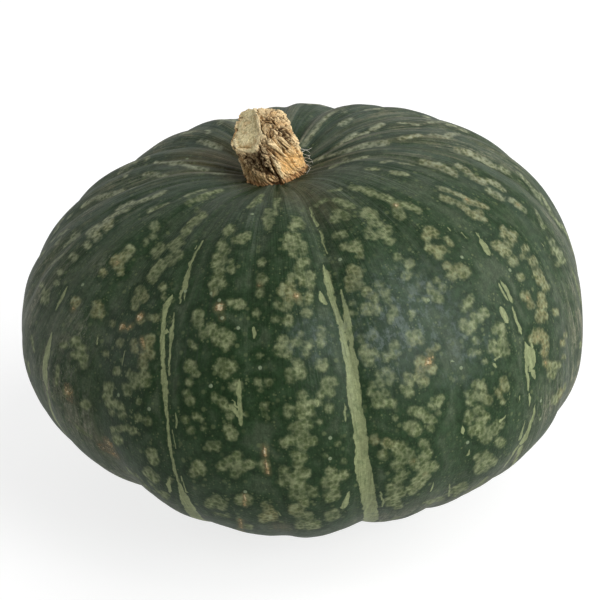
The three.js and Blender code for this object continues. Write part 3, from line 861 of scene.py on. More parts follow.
# Fields over the grid say how deep inside a mark each place is, in millimetres, and below nothing outside.
longestReach = 2.0  # how far to each side of its middle a lobe is drawn out


def dab(marks, path, radius):
    # the mark's radius less the distance to a path on the skin, kept where it is more than what is there
    level = np.sort(path[:, 2])
    beyond = radius - farOutside
    rows = np.flatnonzero((rowTop > level[0] - beyond) & (rowBottom < level[-1] + beyond))
    rows = slice(rows[0], rows[-1] + 1)
    points = plainPoints[rows]
    away = np.full(points.shape[:2], 99.0)
    for start, end in zip(path[:-1], path[1:]):
        away = np.minimum(away, lengths(towardsLine(points, start, end)[2]))
    marks[rows] = np.maximum(marks[rows], radius - away)


def lookingRound(pixels, radius):
    # short paths on the skin, drawn out as far as the slant makes the camera see them shortened:
    # radius * (1 / slant - 1), held
    angle, fall = placeOnFruit(pixels)
    points, step = onFruit(angle, fall), finding["step"]
    normals = unit(np.cross(onFruit(angle, fall + step) - points, onFruit(angle + step, fall) - points))
    towards = unit(cameraPlace - points)
    slant = np.sum(normals * towards, axis=-1, keepdims=True)
    reach = np.clip(radius * (1 / np.maximum(slant, 0.2) - 1), 0, longestReach)
    way = unit(towards - slant * normals) * reach
    return np.stack([points - way, points + way], axis=1)


def towardsLine(points, start, end):
    # at what share of a line each point lies, the same held on the line, and the way from there to the point
    line = end - start
    share = (points - start) @ line / max(line @ line, 1e-9)
    held = np.clip(share, 0, 1)
    return share, held, points - start - held[..., None] * line


def tint(marks, point, radius, strength):
    # a soft bell round a point, which takes its share of what is still untinted
    away = lengths(plainPoints - point)
    marks += (1 - marks) * strength * np.exp(-((away / radius) ** 2))


def alone(point):
    # a path that is one point
    return np.stack([point, point])


def addDot(point):
    dab(dots, alone(point), dotRadius)
    near = lengths(plainPoints - point) < 4 * dotRadius
    dotAway[near] = plainPoints[near] - point


def drawStroke(sideField, halfField, pixels):
    # signed distance across from a stroke, and half its width, kept where it is nearer than earlier ones
    spaced = finelySpaced(pixels, 6)
    angle, fall = placeOnFruit(spaced)
    path = onFruit(angle, fall)
    rows = slice(max(np.searchsorted(falls, fall.min()) - 5, 0), np.searchsorted(falls, fall.max()) + 6)
    points, normals = plainPoints[rows], plainNormals[rows]
    nearest = np.full(points.shape[:2], 99.0)
    side, half = np.zeros_like(nearest), np.full_like(nearest, farOutside)
    for i in range(len(path) - 1):
        share, held, offset = towardsLine(points, path[i], path[i + 1])
        line = path[i + 1] - path[i]
        away = lengths(offset)
        across = np.sum(np.cross(unit(line), normals) * offset, axis=-1)
        beyond = np.abs(share - held) * lengths(line)
        closer = away < nearest
        nearest = np.where(closer, away, nearest)
        side = np.where(closer, across, side)
        half = np.where(closer, mix(spaced[i, 2], spaced[i + 1, 2], held) / 2 - 2 * beyond, half)
    half -= 2 * np.maximum(np.abs(side) - half - 1.7, 0)
    better = (half - np.abs(side) > halfField[rows] - np.abs(sideField[rows])) & (nearest < 8)
    sideField[rows] = np.where(better, side, sideField[rows])
    halfField[rows] = np.where(better, half, halfField[rows])


gridShape = angleGrid.shape
rowTop, rowBottom = plainPoints[..., 2].max(axis=1), plainPoints[..., 2].min(axis=1)
cloud, rust, scab, dots = (np.full(gridShape, farOutside) for _ in range(4))
tints = {name: np.zeros(gridShape) for name in tintPatches}
farAway = 9.0
dotAway = np.full((*gridShape, 3), farAway)  # the way from the middle of a dot, so that it comes out round
dashSide, dashHalf = np.zeros(gridShape), np.full(gridShape, farOutside)
slitSide, slitHalf = np.zeros(gridShape), np.full(gridShape, farOutside)


def seenMarks():
    for radius, pixels in cloudLobes.items():
        for path in lookingRound(pixels, radius):
            dab(cloud, path, radius)
    for radius, paths in longClouds.items():
        for path in paths:
            dab(cloud, onFruit(*placeOnFruit(path)), radius)
    for marks, given in ((rust, rustSpecks), (scab, scabs)):
        for point, (*_, radius) in zip(onFruit(*placeOnFruit(given)), given):
            dab(marks, alone(point), radius)
    for path in rustScratches:
        dab(rust, onFruit(*placeOnFruit(path)), scratchRadius)
    for name, patches in tintPatches.items():
        for point, (*_, radius, strength) in zip(onFruit(*placeOnFruit(patches)), patches):
            tint(tints[name], point, radius, strength)
    for point in onFruit(*placeOnFruit(paleDots)):
        addDot(point)
    for stroke in stripeStrokes["betweenSeams"]:
        drawStroke(dashSide, dashHalf, stroke)
    for stroke in slitStrokes:
        drawStroke(slitSide, slitHalf, stroke)


# The sides that the photograph doesn't show carry marks of the same kinds, strewn with a fixed seed.
strewn = {
    "seed": 7,
    "rowShares": (0.27, 0.73),  # two rows of clusters down each lobe
    "shareSpread": 0.05,
    "clusterFrom": 14.0,  # millimetres down from the stem's pole, and the next up from the flat spot
    "clusterBefore": 12.0,
    "clusterStep": 15.0,
    "stepShares": (0.75, 1.3),  # drawn between the two, as all such pairs here
    "leastSize": 0.55,  # of a cluster by the stem, as a share of one as far down as the next says
    "fullSizeAt": 60.0,
    "length": 0.4,  # how far a lobe is drawn out up and down, and what a small one adds
    "addedLength": 5.0,
    "clusterAlong": 5.5,
    "clusterAcross": 3.2,
    "lobesEach": (4, 10),
    "lobeRadius": (1.2, 2.1),
    "singles": 420,
    "singleRadius": (0.8, 1.6),
    "singlesFrom": 25.0,
    "singlesBefore": 5.0,
    "singlePower": 0.8,  # under 1, so that more of them lie low
    "seamGap": 4.0,
    "speckShare": 0.8,  # of a single lobe's radius
    "specks": 26,
    "dots": 110,
    # for each tint, how many patches, their radius and their strength
    "tints": {
        # the third kind on the next line is painted sheen, with a little of the skin's real wax
        "weathered": (22, 10, 0.5), "warm": (22, 10, 0.7), "bloomAndSheen": (12, 10, 0.6), "brown": (8, 6, 0.5),
    },
    "tintsFrom": 20,  # the first ring that has any
    "radiusShares": (0.7, 1.3),
    "strengthShares": (0.5, 1.2),
    "seenFrom": 0.16,  # marks are strewn where the surface faces the camera less than this
}


def strewCluster(draw, row, column, size, kept):
    # lobes of cloud round a place on the skin, drawn out more where the cluster is small
    centre, angle = plainPoints[row, column], angleGrid[row, column]
    around = np.array([np.cos(angle), np.sin(angle), 0])
    downward = np.cross(around, plainNormals[row, column])
    long = downward * (strewn["length"] + strewn["addedLength"] * (1 - size))
    for _ in range(draw.integers(*strewn["lobesEach"])):
        offset = draw.normal(0, 1, 2) * (strewn["clusterAcross"], strewn["clusterAlong"]) * size
        radius = draw.uniform(*strewn["lobeRadius"]) * size
        point = centre + around * offset[0] + downward * offset[1]
        if kept:
            dab(cloud, np.array([point - long, point + long]), radius)


def strewClusters(draw, hidden):
    for lobe in range(lobeCount):
        columns = np.flatnonzero(columnLobe == lobe)
        for share in strewn["rowShares"]:
            place = strewn["clusterFrom"] + draw.uniform(0, strewn["clusterStep"])
            while place < along[-1] - strewn["clusterBefore"]:
                row = np.searchsorted(along, place)
                across = np.clip(share + draw.normal(0, strewn["shareSpread"]), 0, 0.99)
                column = columns[int(across * len(columns))]
                size = mix(strewn["leastSize"], 1, smoothShare(place / strewn["fullSizeAt"]))
                strewCluster(draw, row, column, size, hidden[row, column])
                place += strewn["clusterStep"] * draw.uniform(*strewn["stepShares"])


def strewSingles(draw, hidden):
    # single lobes of cloud, corky specks and pale dots, away from the seams
    kinds = ["single"] * strewn["singles"] + ["speck"] * strewn["specks"] + ["dot"] * strewn["dots"]
    reach = along[-1] - strewn["singlesFrom"] - strewn["singlesBefore"]
    for kind in kinds:
        place = strewn["singlesFrom"] + reach * draw.uniform() ** strewn["singlePower"]
        row = int(np.searchsorted(along, place))
        column = draw.integers(0, gridShape[1])
        radius = draw.uniform(*strewn["singleRadius"])
        if not hidden[row, column] or abs(seamSide[row, column]) < strewn["seamGap"]:
            continue
        if kind == "single":
            dab(cloud, alone(plainPoints[row, column]), radius)
        elif kind == "speck":
            dab(rust, alone(plainPoints[row, column]), strewn["speckShare"] * radius)
        else:
            addDot(plainPoints[row, column])


def strewTints(draw, hidden):
    for name, (count, size, strength) in strewn["tints"].items():
        for _ in range(count):
            row, column = draw.integers(strewn["tintsFrom"], gridShape[0]), draw.integers(0, gridShape[1])
            radius = size * draw.uniform(*strewn["radiusShares"])
            share = strength * draw.uniform(*strewn["strengthShares"])
            if hidden[row, column]:
                tint(tints[name], plainPoints[row, column], radius, min(share, 1))


def hiddenMarks():
    # the places are drawn all round the fruit, and the marks kept where the photograph shows nothing
    draw = np.random.default_rng(strewn["seed"])
    hidden = facing(plainPoints, plainNormals) < strewn["seenFrom"]
    for strew in (strewClusters, strewSingles, strewTints):
        strew(draw, hidden)


seenMarks()
hiddenMarks()
print("marks placed")


def closedMesh(name, grid, first, last):
    # quads between neighbouring rings of a grid that closes round, and a fan of triangles over each end
    rings, columns = grid.shape[:2]
    index = np.arange(rings * columns).reshape(rings, columns)
    following = np.roll(index, -1, axis=1)
    quads = np.stack([index[:-1], index[1:], following[1:], following[:-1]], axis=-1).reshape(-1, 4)
    top = np.stack([np.full(columns, rings * columns), index[0], following[0]], axis=-1)
    bottom = np.stack([index[-1], np.full(columns, rings * columns + 1), following[-1]], axis=-1)
    places = np.concatenate([grid.reshape(-1, 3), [first], [last]]) * mm
    mesh = bpy.data.meshes.new(name)
    mesh.from_pydata(places.tolist(), [], quads.tolist() + top.tolist() + bottom.tolist())
    mesh.shade_smooth()
    mesh.validate()
    return placed(name, mesh)


def keepField(made, name, grid):
    # a value, or three, for each point of a piece; the two ends take the mean of the ring beside them
    grid = np.atleast_3d(grid)
    ends = grid[[0, -1]].mean(axis=1)
    values = np.concatenate([grid.reshape(-1, grid.shape[-1]), ends])
    kind, member = ("FLOAT", "value") if values.shape[1] == 1 else ("FLOAT_VECTOR", "vector")
    made.data.attributes.new(name, kind, "POINT").data.foreach_set(member, values.ravel())


def addFlat(grid, value=None):
    # the rings of the flat spot, added to a field: a repeat of its last ring, or a value
    last = grid[-1:] if value is None else np.full_like(grid[-1:], value)
    return np.concatenate([grid, np.repeat(last, skin["flatRings"], axis=0)])


def blossomScar(middle, rim):
    # rings that shrink evenly from the rim of the flat spot to its middle, with a ragged, cracked dish in
    # them, and how deep in the dish each place is, from 0 to 1
    spread = 1 - np.arange(1, skin["flatRings"] + 1)[:, None, None] / (skin["flatRings"] + 1)
    flat = middle + (rim - middle) * spread
    distance = lengths(flat[..., :2] - middle[:2])
    angle = angleGrid[-1]
    ragged = skin["scarRadius"] * (1 + 0.12 * np.sin(5 * angle) + 0.1 * np.sin(3 * angle + 1))
    dish = 1 - gently(distance / ragged, 0.7, 0.45)
    cracks = np.abs(np.sin(4.5 * angle + 0.8 * np.sin(distance)))
    flat[..., 2] = skin["scarDepth"] * dish * (1 - 0.35 * cracks * smoothShare(distance / 2))
    return flat, dish


def makeSkin():
    points = plainPoints + plainNormals * fineRelief()[..., None]
    points[..., 2] = np.maximum(points[..., 2], 0)
    middle = np.append(ringMiddle(np.array(1.0)), 0)
    flat, dish = blossomScar(middle, points[-1:])
    grid = np.concatenate([points, flat])
    made = closedMesh("squashSkin", grid, stemPlace, middle + (0, 0, skin["scarDepth"]))
    nearSeam = np.exp(-((seamSide / skin["seamValley"]) ** 2))
    nearFold = skin["foldStrength"] * np.exp(-(((columnShare - 0.5) / skin["foldValley"]) ** 2))
    upperHalf = 1 - 0.75 * gently(fallGrid, 0.3, 0.3)
    nearStem = np.where(upperGrid, np.exp(-((reachGrid / skin["stemReach"]) ** 2)), 0)
    none = np.zeros(gridShape)

    # Each field, with what it is on the flat spot where it doesn't repeat its last ring.
    fields = {
        "cloud": (cloud,), "brown": (tints["brown"],), "pleat": (pleatGrid,), "fall": (fallGrid,),
        "seamSide": (seamSide,), "downFruit": (downFruit,),
        "valley": (np.maximum(nearSeam, nearFold) * upperHalf,),
        "nearStem": (nearStem, 0), "dots": (dots, farOutside), "dotAway": (dotAway, farAway),
        "tints": (np.stack([tints[name] for name in ("weathered", "warm", "bloomAndSheen")], axis=-1),),
        "corky": (np.stack([rust, scab, none], axis=-1), farOutside),
        "dash": (np.stack([dashSide, dashHalf, none], axis=-1), farOutside),
        "slit": (np.stack([slitSide, slitHalf, none], axis=-1), farOutside),
        "middleFirst": (strandMiddleGrid[..., :3],), "middleSecond": (strandMiddleGrid[..., 3:],),
        "halfFirst": (strandHalfGrid[..., :3], farOutside),
        "halfSecond": (strandHalfGrid[..., 3:], farOutside),
    }
    for name, given in fields.items():
        keepField(made, name, addFlat(*given))
    keepField(made, "scar", np.concatenate([none, dish]))
    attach(made, "root")
    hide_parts("squash_body")
    return made


squashSkin = makeSkin()
print("skin made")


# Short calls for the nodes that the materials are made of. A value is a number, a colour or another node's
# socket, and a new node goes into the tree of the first socket that it is given.
def treeOf(*values):
    return next(value.id_data for value in values if isinstance(value, bpy.types.NodeSocket))


def put(socket, value):
    if isinstance(value, bpy.types.NodeSocket):
        socket.id_data.links.new(value, socket)
    elif isinstance(value, tuple) and len(value) < len(socket.default_value):
        socket.default_value = (*value, 1)  # a colour, made opaque
    else:
        socket.default_value = value


def fill(made, inputs):
    for name, value in inputs.items():
        put(made.inputs[name], value)


def node(tree, kind, inputs, **settings):
    made = tree.nodes.new("ShaderNode" + kind)
    for name, value in settings.items():
        setattr(made, name, value)
    fill(made, inputs)
    return made


def calc(operation, *values):
    return node(treeOf(*values), "Math", dict(enumerate(values)), operation=operation).outputs[0]


def total(*values):
    return reduce(partial(calc, "ADD"), values)


def product(*values):
    return reduce(partial(calc, "MULTIPLY"), values)


def largest(*values):
    return reduce(partial(calc, "MAXIMUM"), values)


def centred(value, amount):
    # a noise from 0 to 1 turned into one round 0 that is this much from end to end
    return calc("MULTIPLY_ADD", value, amount, -amount / 2)


def vectorCalc(operation, *values):
    made = node(treeOf(*values), "VectorMath", dict(enumerate(values)), operation=operation)
    return made.outputs["Value" if operation == "LENGTH" else "Vector"]


def scaled(vector, factor):
    inputs = {0: vector, "Scale": factor}
    return node(treeOf(vector), "VectorMath", inputs, operation="SCALE").outputs["Vector"]


def stretched(place, share):
    # places whose third way is shortened to a share, so that a pattern on them is drawn out that way
    return vectorCalc("MULTIPLY", place, (1.0, 1.0, share))


def parts(vector):
    return node(treeOf(vector), "SeparateXYZ", {"Vector": vector}).outputs


def between(value, low, high, start=0.0, end=1.0):
    # a smooth step from start at low to end at high
    inputs = {"Value": value, "From Min": low, "From Max": high, "To Min": start, "To Max": end}
    return node(treeOf(value), "MapRange", inputs, interpolation_type="SMOOTHSTEP").outputs["Result"]


def blend(share, first, second):
    # from the first colour to the second, by a share that is held between 0 and 1
    inputs = {0: share, 6: first, 7: second}
    return node(treeOf(share), "Mix", inputs, data_type="RGBA", clamp_factor=True).outputs[2]


def painted(colour, *layers):
    # a colour with others laid over it one after the other, each with its share
    for share, over in layers:
        colour = blend(share, colour, over)
    return colour


def field(tree, name, output="Fac"):
    return node(tree, "Attribute", {}, attribute_type="GEOMETRY", attribute_name=name).outputs[output]


def threeFields(tree, name):
    return parts(field(tree, name, "Vector"))


def inMillimetres(tree):
    return scaled(node(tree, "TexCoord", {}).outputs["Object"], 1 / mm)


def noise(place, size, detail=2.0, roughness=0.5):
    # soft noise from 0 to 1 whose features are this many units of the place across
    inputs = {"Vector": place, "Scale": 1 / size, "Detail": detail, "Roughness": roughness}
    return node(treeOf(place), "TexNoise", inputs).outputs["Fac"]


def voronoi(place, size):
    return node(treeOf(place), "TexVoronoi", {"Vector": place, "Scale": 1 / size}).outputs


def bumpOf(height):
    # a height in millimetres as a bump of the surface
    return node(treeOf(height), "Bump", {"Strength": 1.0, "Distance": mm, "Height": height}).outputs[0]


mottling = {"patchShare": 0.65, "grainShare": 0.35, "grainSize": 0.27, "roughness": 0.6, "range": (0.3, 0.7)}


def makeMottle():
    # a group that lightens and darkens a colour in patches of one size, with grains about a quarter of it
    tree = bpy.data.node_groups.new("mottle", "ShaderNodeTree")
    for title, kind in (("Place", "Vector"), ("Size", "Float"), ("Strength", "Float"), ("Colour", "Color")):
        tree.interface.new_socket(name=title, in_out="INPUT", socket_type="NodeSocket" + kind)
    tree.interface.new_socket(name="Colour", in_out="OUTPUT", socket_type="NodeSocketColor")
    given = tree.nodes.new("NodeGroupInput").outputs
    place = scaled(given["Place"], calc("DIVIDE", 1.0, given["Size"]))
    patches = noise(place, 1.0, 2.0, mottling["roughness"])
    grains = noise(place, mottling["grainSize"], 1.0, mottling["roughness"])
    both = total(product(patches, mottling["patchShare"]), product(grains, mottling["grainShare"]))
    factor = calc("MULTIPLY_ADD", between(both, *mottling["range"], -1.0, 1.0), given["Strength"], 1.0)
    put(tree.nodes.new("NodeGroupOutput").inputs["Colour"], scaled(given["Colour"], factor))
    return tree


mottleGroup = makeMottle()


def mottle(place, size, strength, colour):
    inputs = {"Place": place, "Size": size, "Strength": strength, "Colour": colour}
    return node(treeOf(place), "Group", inputs, node_tree=mottleGroup).outputs["Colour"]


def newMaterial(name):
    material = bpy.data.materials.new(name)
    material.use_nodes = True
    tree = material.node_tree
    tree.nodes.clear()
    shader = node(tree, "BsdfPrincipled", {})
    node(tree, "OutputMaterial", {"Surface": shader.outputs["BSDF"]})
    return material, tree, shader


rind = {
    "dark": (0.013, 0.033, 0.0105),
    "green": (0.03, 0.057, 0.025),
    "grey": (0.056, 0.08, 0.044),
    "weathered": (0.13, 0.135, 0.078),
    "streakAndHighlight": (0.23, 0.218, 0.138),
    "greyStreak": (0.115, 0.142, 0.11),
    "olive": (0.064, 0.082, 0.05),
    "brown": (0.105, 0.09, 0.045),
    # bluish grey of the painted sheen, with a little of the skin's real wax
    "bloomAndSheen": (0.145, 0.185, 0.17),
    "cloud": (0.122, 0.154, 0.068),
    "cloudWarm": (0.2, 0.176, 0.078),
    "cloudKhaki": (0.26, 0.28, 0.175),
    "cloudCore": (0.06, 0.086, 0.029),
    "cloudRim": (0.235, 0.265, 0.138),
    "khakiRim": (0.35, 0.375, 0.25),
    "stripe": (0.25, 0.285, 0.14),
    "stripeDark": (0.11, 0.15, 0.065),
    "rust": (0.37, 0.265, 0.13),
    "rustHeart": (0.6, 0.52, 0.33),
    "pinhead": (0.27, 0.33, 0.2),
    "scar": (0.34, 0.24, 0.13),
    "roughness": 0.44,
    "specular": 0.15,
    "upperFalls": (0.5, 0.16),  # where the fruit's upper side begins, and where it is reached
    "crownFalls": (0.24, 0.1),
    "rearFrom": (-70, 5),  # millimetres from front to back over which the upper side turns khaki and takes a painted sheen
    "cellSize": 1.5,
    "poreSize": 1.1,
    # how far noise bends the edges of the marks, in millimetres from end to end
    "waver": 1.7, "haloBend": 2.6, "cloudBend": 0.95, "tornBend": 0.9, "cellBend": 0.9, "rustBend": 1.3,
    "scabBend": 2.5,
    # heights of the bump, in millimetres
    "poreHeight": 0.022, "rippleHeight": 0.12, "lineHeight": 0.26, "grainHeight": 0.05,
}

# Noise on the rind: its size in millimetres, its detail and its roughness. A fourth number draws it out down
# the fruit, by shortening the way down to that share.
rindNoise = {
    "waver": (3.0, 2.0, 0.55), "strokeEdge": (0.6, 2.0, 0.6, 0.2), "haloEdge": (3.5, 2.0, 0.5),
    "patches": (8.0, 3.0, 0.55), "bands": (5.0, 3.0, 0.55, 0.09), "wide": (2.4, 3.0, 0.65, 0.045),
    "fine": (1.0, 2.0, 0.6, 0.05), "broad": (3.4, 4.0, 0.72, 0.26), "flecks": (1.0, 3.0, 0.65, 0.5),
    "groups": (7.0, 3.0, 0.6), "speckGroups": (7.0, 2.0, 0.5), "cloudEdge": (1.5, 2.0, 0.5),
    "tornEdge": (1.6, 2.0, 0.7, 0.6), "cloudStrength": (6.0, 2.0, 0.5), "warmth": (12.0, 2.0, 0.5),
    "cellEdge": (1.2, 3.0, 0.6), "fibres": (0.75, 3.0, 0.65, 0.15), "stripePatches": (2.6, 3.0, 0.6),
    "rustEdge": (0.9, 2.0, 0.5), "threads": (1.5, 2.0, 0.6), "scabEdge": (2.0, 2.0, 0.5),
    "sheenVeilNoise": (8.0, 3.0, 0.6, 0.35), "hearts": (1.3, 2.0, 0.5), "gloss": (3.5, 3.0, 0.5),
    "ripples": (1.6, 3.0, 0.6, 0.09), "lines": (1.2, 2.0, 0.6, 0.05), "grain": (0.7, 2.0, 0.5),
    "corkGrain": (0.6, 2.0, 0.5),
}


def pattern(at, name):
    size, detail, roughness, *drawnOut = rindNoise[name]
    place = stretched(at["down"], *drawnOut) if drawnOut else at["spot"]
    return noise(place, size, detail, roughness)


def readSkin(tree):
    # what the layers below read from the piece: places in millimetres, and its fields
    names = ("cloud", "brown", "dots", "scar", "valley", "nearStem", "pleat")
    at = {name: field(tree, name) for name in names}
    at["spot"], at["down"] = inMillimetres(tree), field(tree, "downFruit", "Vector")
    at["weathered"], at["warm"], at["bloomAndSheen"] = threeFields(tree, "tints")
    at["rust"], at["scab"], _ = threeFields(tree, "corky")
    at["upper"] = between(field(tree, "fall"), *rind["upperFalls"])
    at["crown"] = between(field(tree, "fall"), *rind["crownFalls"])
    at["rear"] = product(at["upper"], between(parts(at["down"])[1], *rind["rearFrom"]))
    at["cell"] = voronoi(at["spot"], rind["cellSize"])["Distance"]
    return at


def stripeDepth(tree, at):
    # how deep inside a strand or a dash: half its width less the distance across from its middle, and noise
    waver = centred(pattern(at, "waver"), rind["waver"])
    side = total(field(tree, "seamSide"), waver)
    sides = node(tree, "CombineXYZ", {"X": side, "Y": side, "Z": side}).outputs[0]
    insides = []
    for name in ("First", "Second"):
        offset = vectorCalc("SUBTRACT", sides, field(tree, "middle" + name, "Vector"))
        across = vectorCalc("ABSOLUTE", offset)
        insides.append(vectorCalc("SUBTRACT", field(tree, "half" + name, "Vector"), across))
    strands = largest(*parts(vectorCalc("MAXIMUM", *insides)))
    dashSide, dashHalf, _ = threeFields(tree, "dash")
    away = calc("ABSOLUTE", calc("MULTIPLY_ADD", waver, 0.6, dashSide))
    ragged = calc("MULTIPLY_ADD", pattern(at, "strokeEdge"), 0.9, -0.55)
    return total(ragged, largest(strands, calc("SUBTRACT", dashHalf, away)))


def specks(spot, size, radius, share):
    # faint round specks, one to each cell of this size, some of them stronger than others
    cell = voronoi(spot, size)
    chance = node(treeOf(spot), "SeparateColor", {"Color": cell["Color"]}).outputs[0]
    inside = between(cell["Distance"], radius / size, 0.4 * radius / size)
    return product(inside, between(chance, 0.25, 1.0, 0.0, share))


def groundColour(at):
    # deep green close to the marks, which by the stripes is partly painted shade of their grooves, and
    # greyer away from them, with lines down the fruit, most of them near the stem and on weathered patches
    spot, crown, weathered, nearStem = at["spot"], at["crown"], at["weathered"], at["nearStem"]
    wide, fine, broad, flecks = (pattern(at, name) for name in ("wide", "fine", "broad", "flecks"))

    nearCloud = total(at["cloud"], centred(pattern(at, "haloEdge"), rind["haloBend"]))
    # dark round the clouds and beside the stripes, where it is partly painted shade of their grooves
    haloAndGrooveShade = largest(between(nearCloud, -3.0, -0.8, 0.0, 0.9), between(at["stripe"], -2.4, -0.6, 0.0, 0.75))
    patches = between(pattern(at, "patches"), 0.42, 0.62, -0.15, 0.55)
    bands = between(pattern(at, "bands"), 0.35, 0.7, -0.25, 0.3)
    greyness = total(
        product(at["valley"], 0.75), patches, bands, product(haloAndGrooveShade, -0.7), product(at["upper"], 0.05))
    ground = blend(greyness, rind["green"], rind["grey"])

    # Pale lines and flecks come in groups, and fewer of them in front of the stem than behind it.
    grouped = between(pattern(at, "groups"), 0.42, 0.58)
    behind = calc("MULTIPLY_ADD", at["rear"], 0.55, 0.45)
    lined = largest(product(crown, behind), product(weathered, 0.9))
    paleLines = total(
        product(between(wide, 0.53, 0.62), lined, between(grouped, 0, 1, 0.2, 0.7)),
        product(between(fine, 0.52, 0.64), lined, grouped, 0.3),
        product(between(broad, 0.52, 0.6), weathered, between(grouped, 0, 1, 0.2, 0.8)),
        product(between(flecks, 0.53, 0.63), weathered, between(grouped, 0, 1, 0.6, 1.4)))
    # the colour of pale lines, used also for the painted highlight on the pleats' ridges
    streakAndHighlight = blend(largest(at["rear"], weathered), rind["greyStreak"], rind["streakAndHighlight"])
    darkLines = largest(
        product(between(fine, 0.47, 0.36), largest(lined, 0.25), 0.85),
        product(between(broad, 0.47, 0.4), weathered, 0.75),
        product(between(wide, 0.46, 0.38), crown, 0.75))

    # Pleats by the stem get a painted highlight on their ridges and painted shade in their furrows.
    ridge = product(between(at["pleat"], 0.03, 0.28), nearStem, between(fine, 0.35, 0.55, 0.3, 1.0), behind)
    furrow = product(between(at["pleat"], 0.0, -0.25), nearStem)
    ground = painted(
        ground,
        (product(haloAndGrooveShade, 0.8), rind["dark"]),
        (product(weathered, between(broad, 0.42, 0.6, 0.1, 0.8)), rind["weathered"]),
        (paleLines, streakAndHighlight),
        (darkLines, rind["dark"]),
        (product(nearStem, between(wide, 0.35, 0.65, 0.1, 1.0)), rind["olive"]),
        (ridge, streakAndHighlight),
        (furrow, rind["dark"]),
        (product(at["brown"], between(fine, 0.3, 0.6, 0.3, 1.0)), rind["brown"]))
    ground = mottle(spot, 0.7, 0.16, mottle(spot, 2.2, 0.25, ground))
    small = largest(specks(spot, 0.95, 0.36, 0.7), specks(spot, 1.6, 0.55, 0.8))
    small = product(small, between(pattern(at, "speckGroups"), 0.42, 0.62, 0.25, 1.0))
    return blend(largest(small, specks(spot, 3.1, 0.95, 0.7)), ground, rind["cloud"])


def cloudLayer(at):
    # how much cloud there is, from its depth with noise on it, and its colour: a pale net round olive cells
    spot, upper = at["spot"], at["upper"]
    bent = centred(pattern(at, "cloudEdge"), rind["cloudBend"])
    torn = product(centred(pattern(at, "tornEdge"), rind["tornBend"]), upper)
    depth = total(at["cloud"], bent, torn, calc("MULTIPLY_ADD", upper, 0.1, -0.3))
    strength = between(pattern(at, "cloudStrength"), 0.36, 0.6, 0.65, 1.0)
    khaki = total(product(at["rear"], 0.85), product(upper, 0.12))
    warmth = total(at["warm"], centred(pattern(at, "warmth"), 0.7), -0.1)
    cell = total(at["cell"], centred(pattern(at, "cellEdge"), rind["cellBend"]))
    pale = largest(between(cell, 0.35, 0.85, 0.0, 0.85), between(depth, 0.7, 1.7, 0.0, 0.3))
    colour = painted(
        rind["cloud"],
        (khaki, rind["cloudKhaki"]),
        (warmth, rind["cloudWarm"]),
        (between(cell, 0.5, 0.2, 0.0, 0.72), rind["cloudCore"]),
        (pale, blend(at["rear"], rind["cloudRim"], rind["khakiRim"])))
    share = product(between(depth, -0.7, 0.65), strength)
    return share, mottle(spot, 0.75, 0.2, mottle(spot, 2.4, 0.2, colour))


def stripeLayer(tree, at):
    # crisp strands, lighter and darker along their fibres, with dark slits
    slitSide, slitHalf, _ = threeFields(tree, "slit")
    slit = calc("SUBTRACT", slitHalf, calc("ABSOLUTE", slitSide))
    share = product(between(at["stripe"], -0.2, 0.2), between(slit, -0.15, 0.1, 1.0, 0.2), 0.95)
    colour = mottle(stretched(at["down"], 0.09), 1.5, 0.2, rind["stripe"])
    colour = mottle(at["spot"], 0.9, 0.18, colour)
    darker = total(product(between(pattern(at, "fibres"), 0.52, 0.7), 0.55),
                   product(between(pattern(at, "stripePatches"), 0.52, 0.68), 0.5))
    return share, blend(darker, colour, rind["stripeDark"])


def corkLayer(at):
    # corky specks and scratches, and scabs of thin branching fibres
    speck = between(total(at["rust"], centred(pattern(at, "rustEdge"), rind["rustBend"])), -0.2, 0.6)
    fromThread = calc("ABSOLUTE", calc("SUBTRACT", pattern(at, "threads"), 0.5))
    scab = between(total(at["scab"], centred(pattern(at, "scabEdge"), rind["scabBend"])), -0.8, 1.0)
    return largest(speck, product(between(fromThread, 0.035, 0.008), scab)), scab


def bloomAndSheenLayer(at):
    # painted sheen in wisps over its patches, where the softbox's reflection lies, with a little of the
    # skin's real wax, and a thin film of painted sheen over the rear
    wisps = noise(stretched(at["spot"], 0.6), 2.6, 4.0, 0.7)
    sheenVeil = between(pattern(at, "sheenVeilNoise"), 0.4, 0.62, 0.0, 0.2)
    share = largest(product(at["bloomAndSheen"], between(wisps, 0.46, 0.68, 0.16, 0.7)), product(at["rear"], sheenVeil))
    return share, rind["bloomAndSheen"]


def dotLayer(tree, at):
    away = vectorCalc("LENGTH", field(tree, "dotAway", "Vector"))
    near = between(at["dots"], -1.6, -1.2)
    return product(between(away, dotRadius, 0.5 * dotRadius, 0.0, 0.75), near), rind["pinhead"]


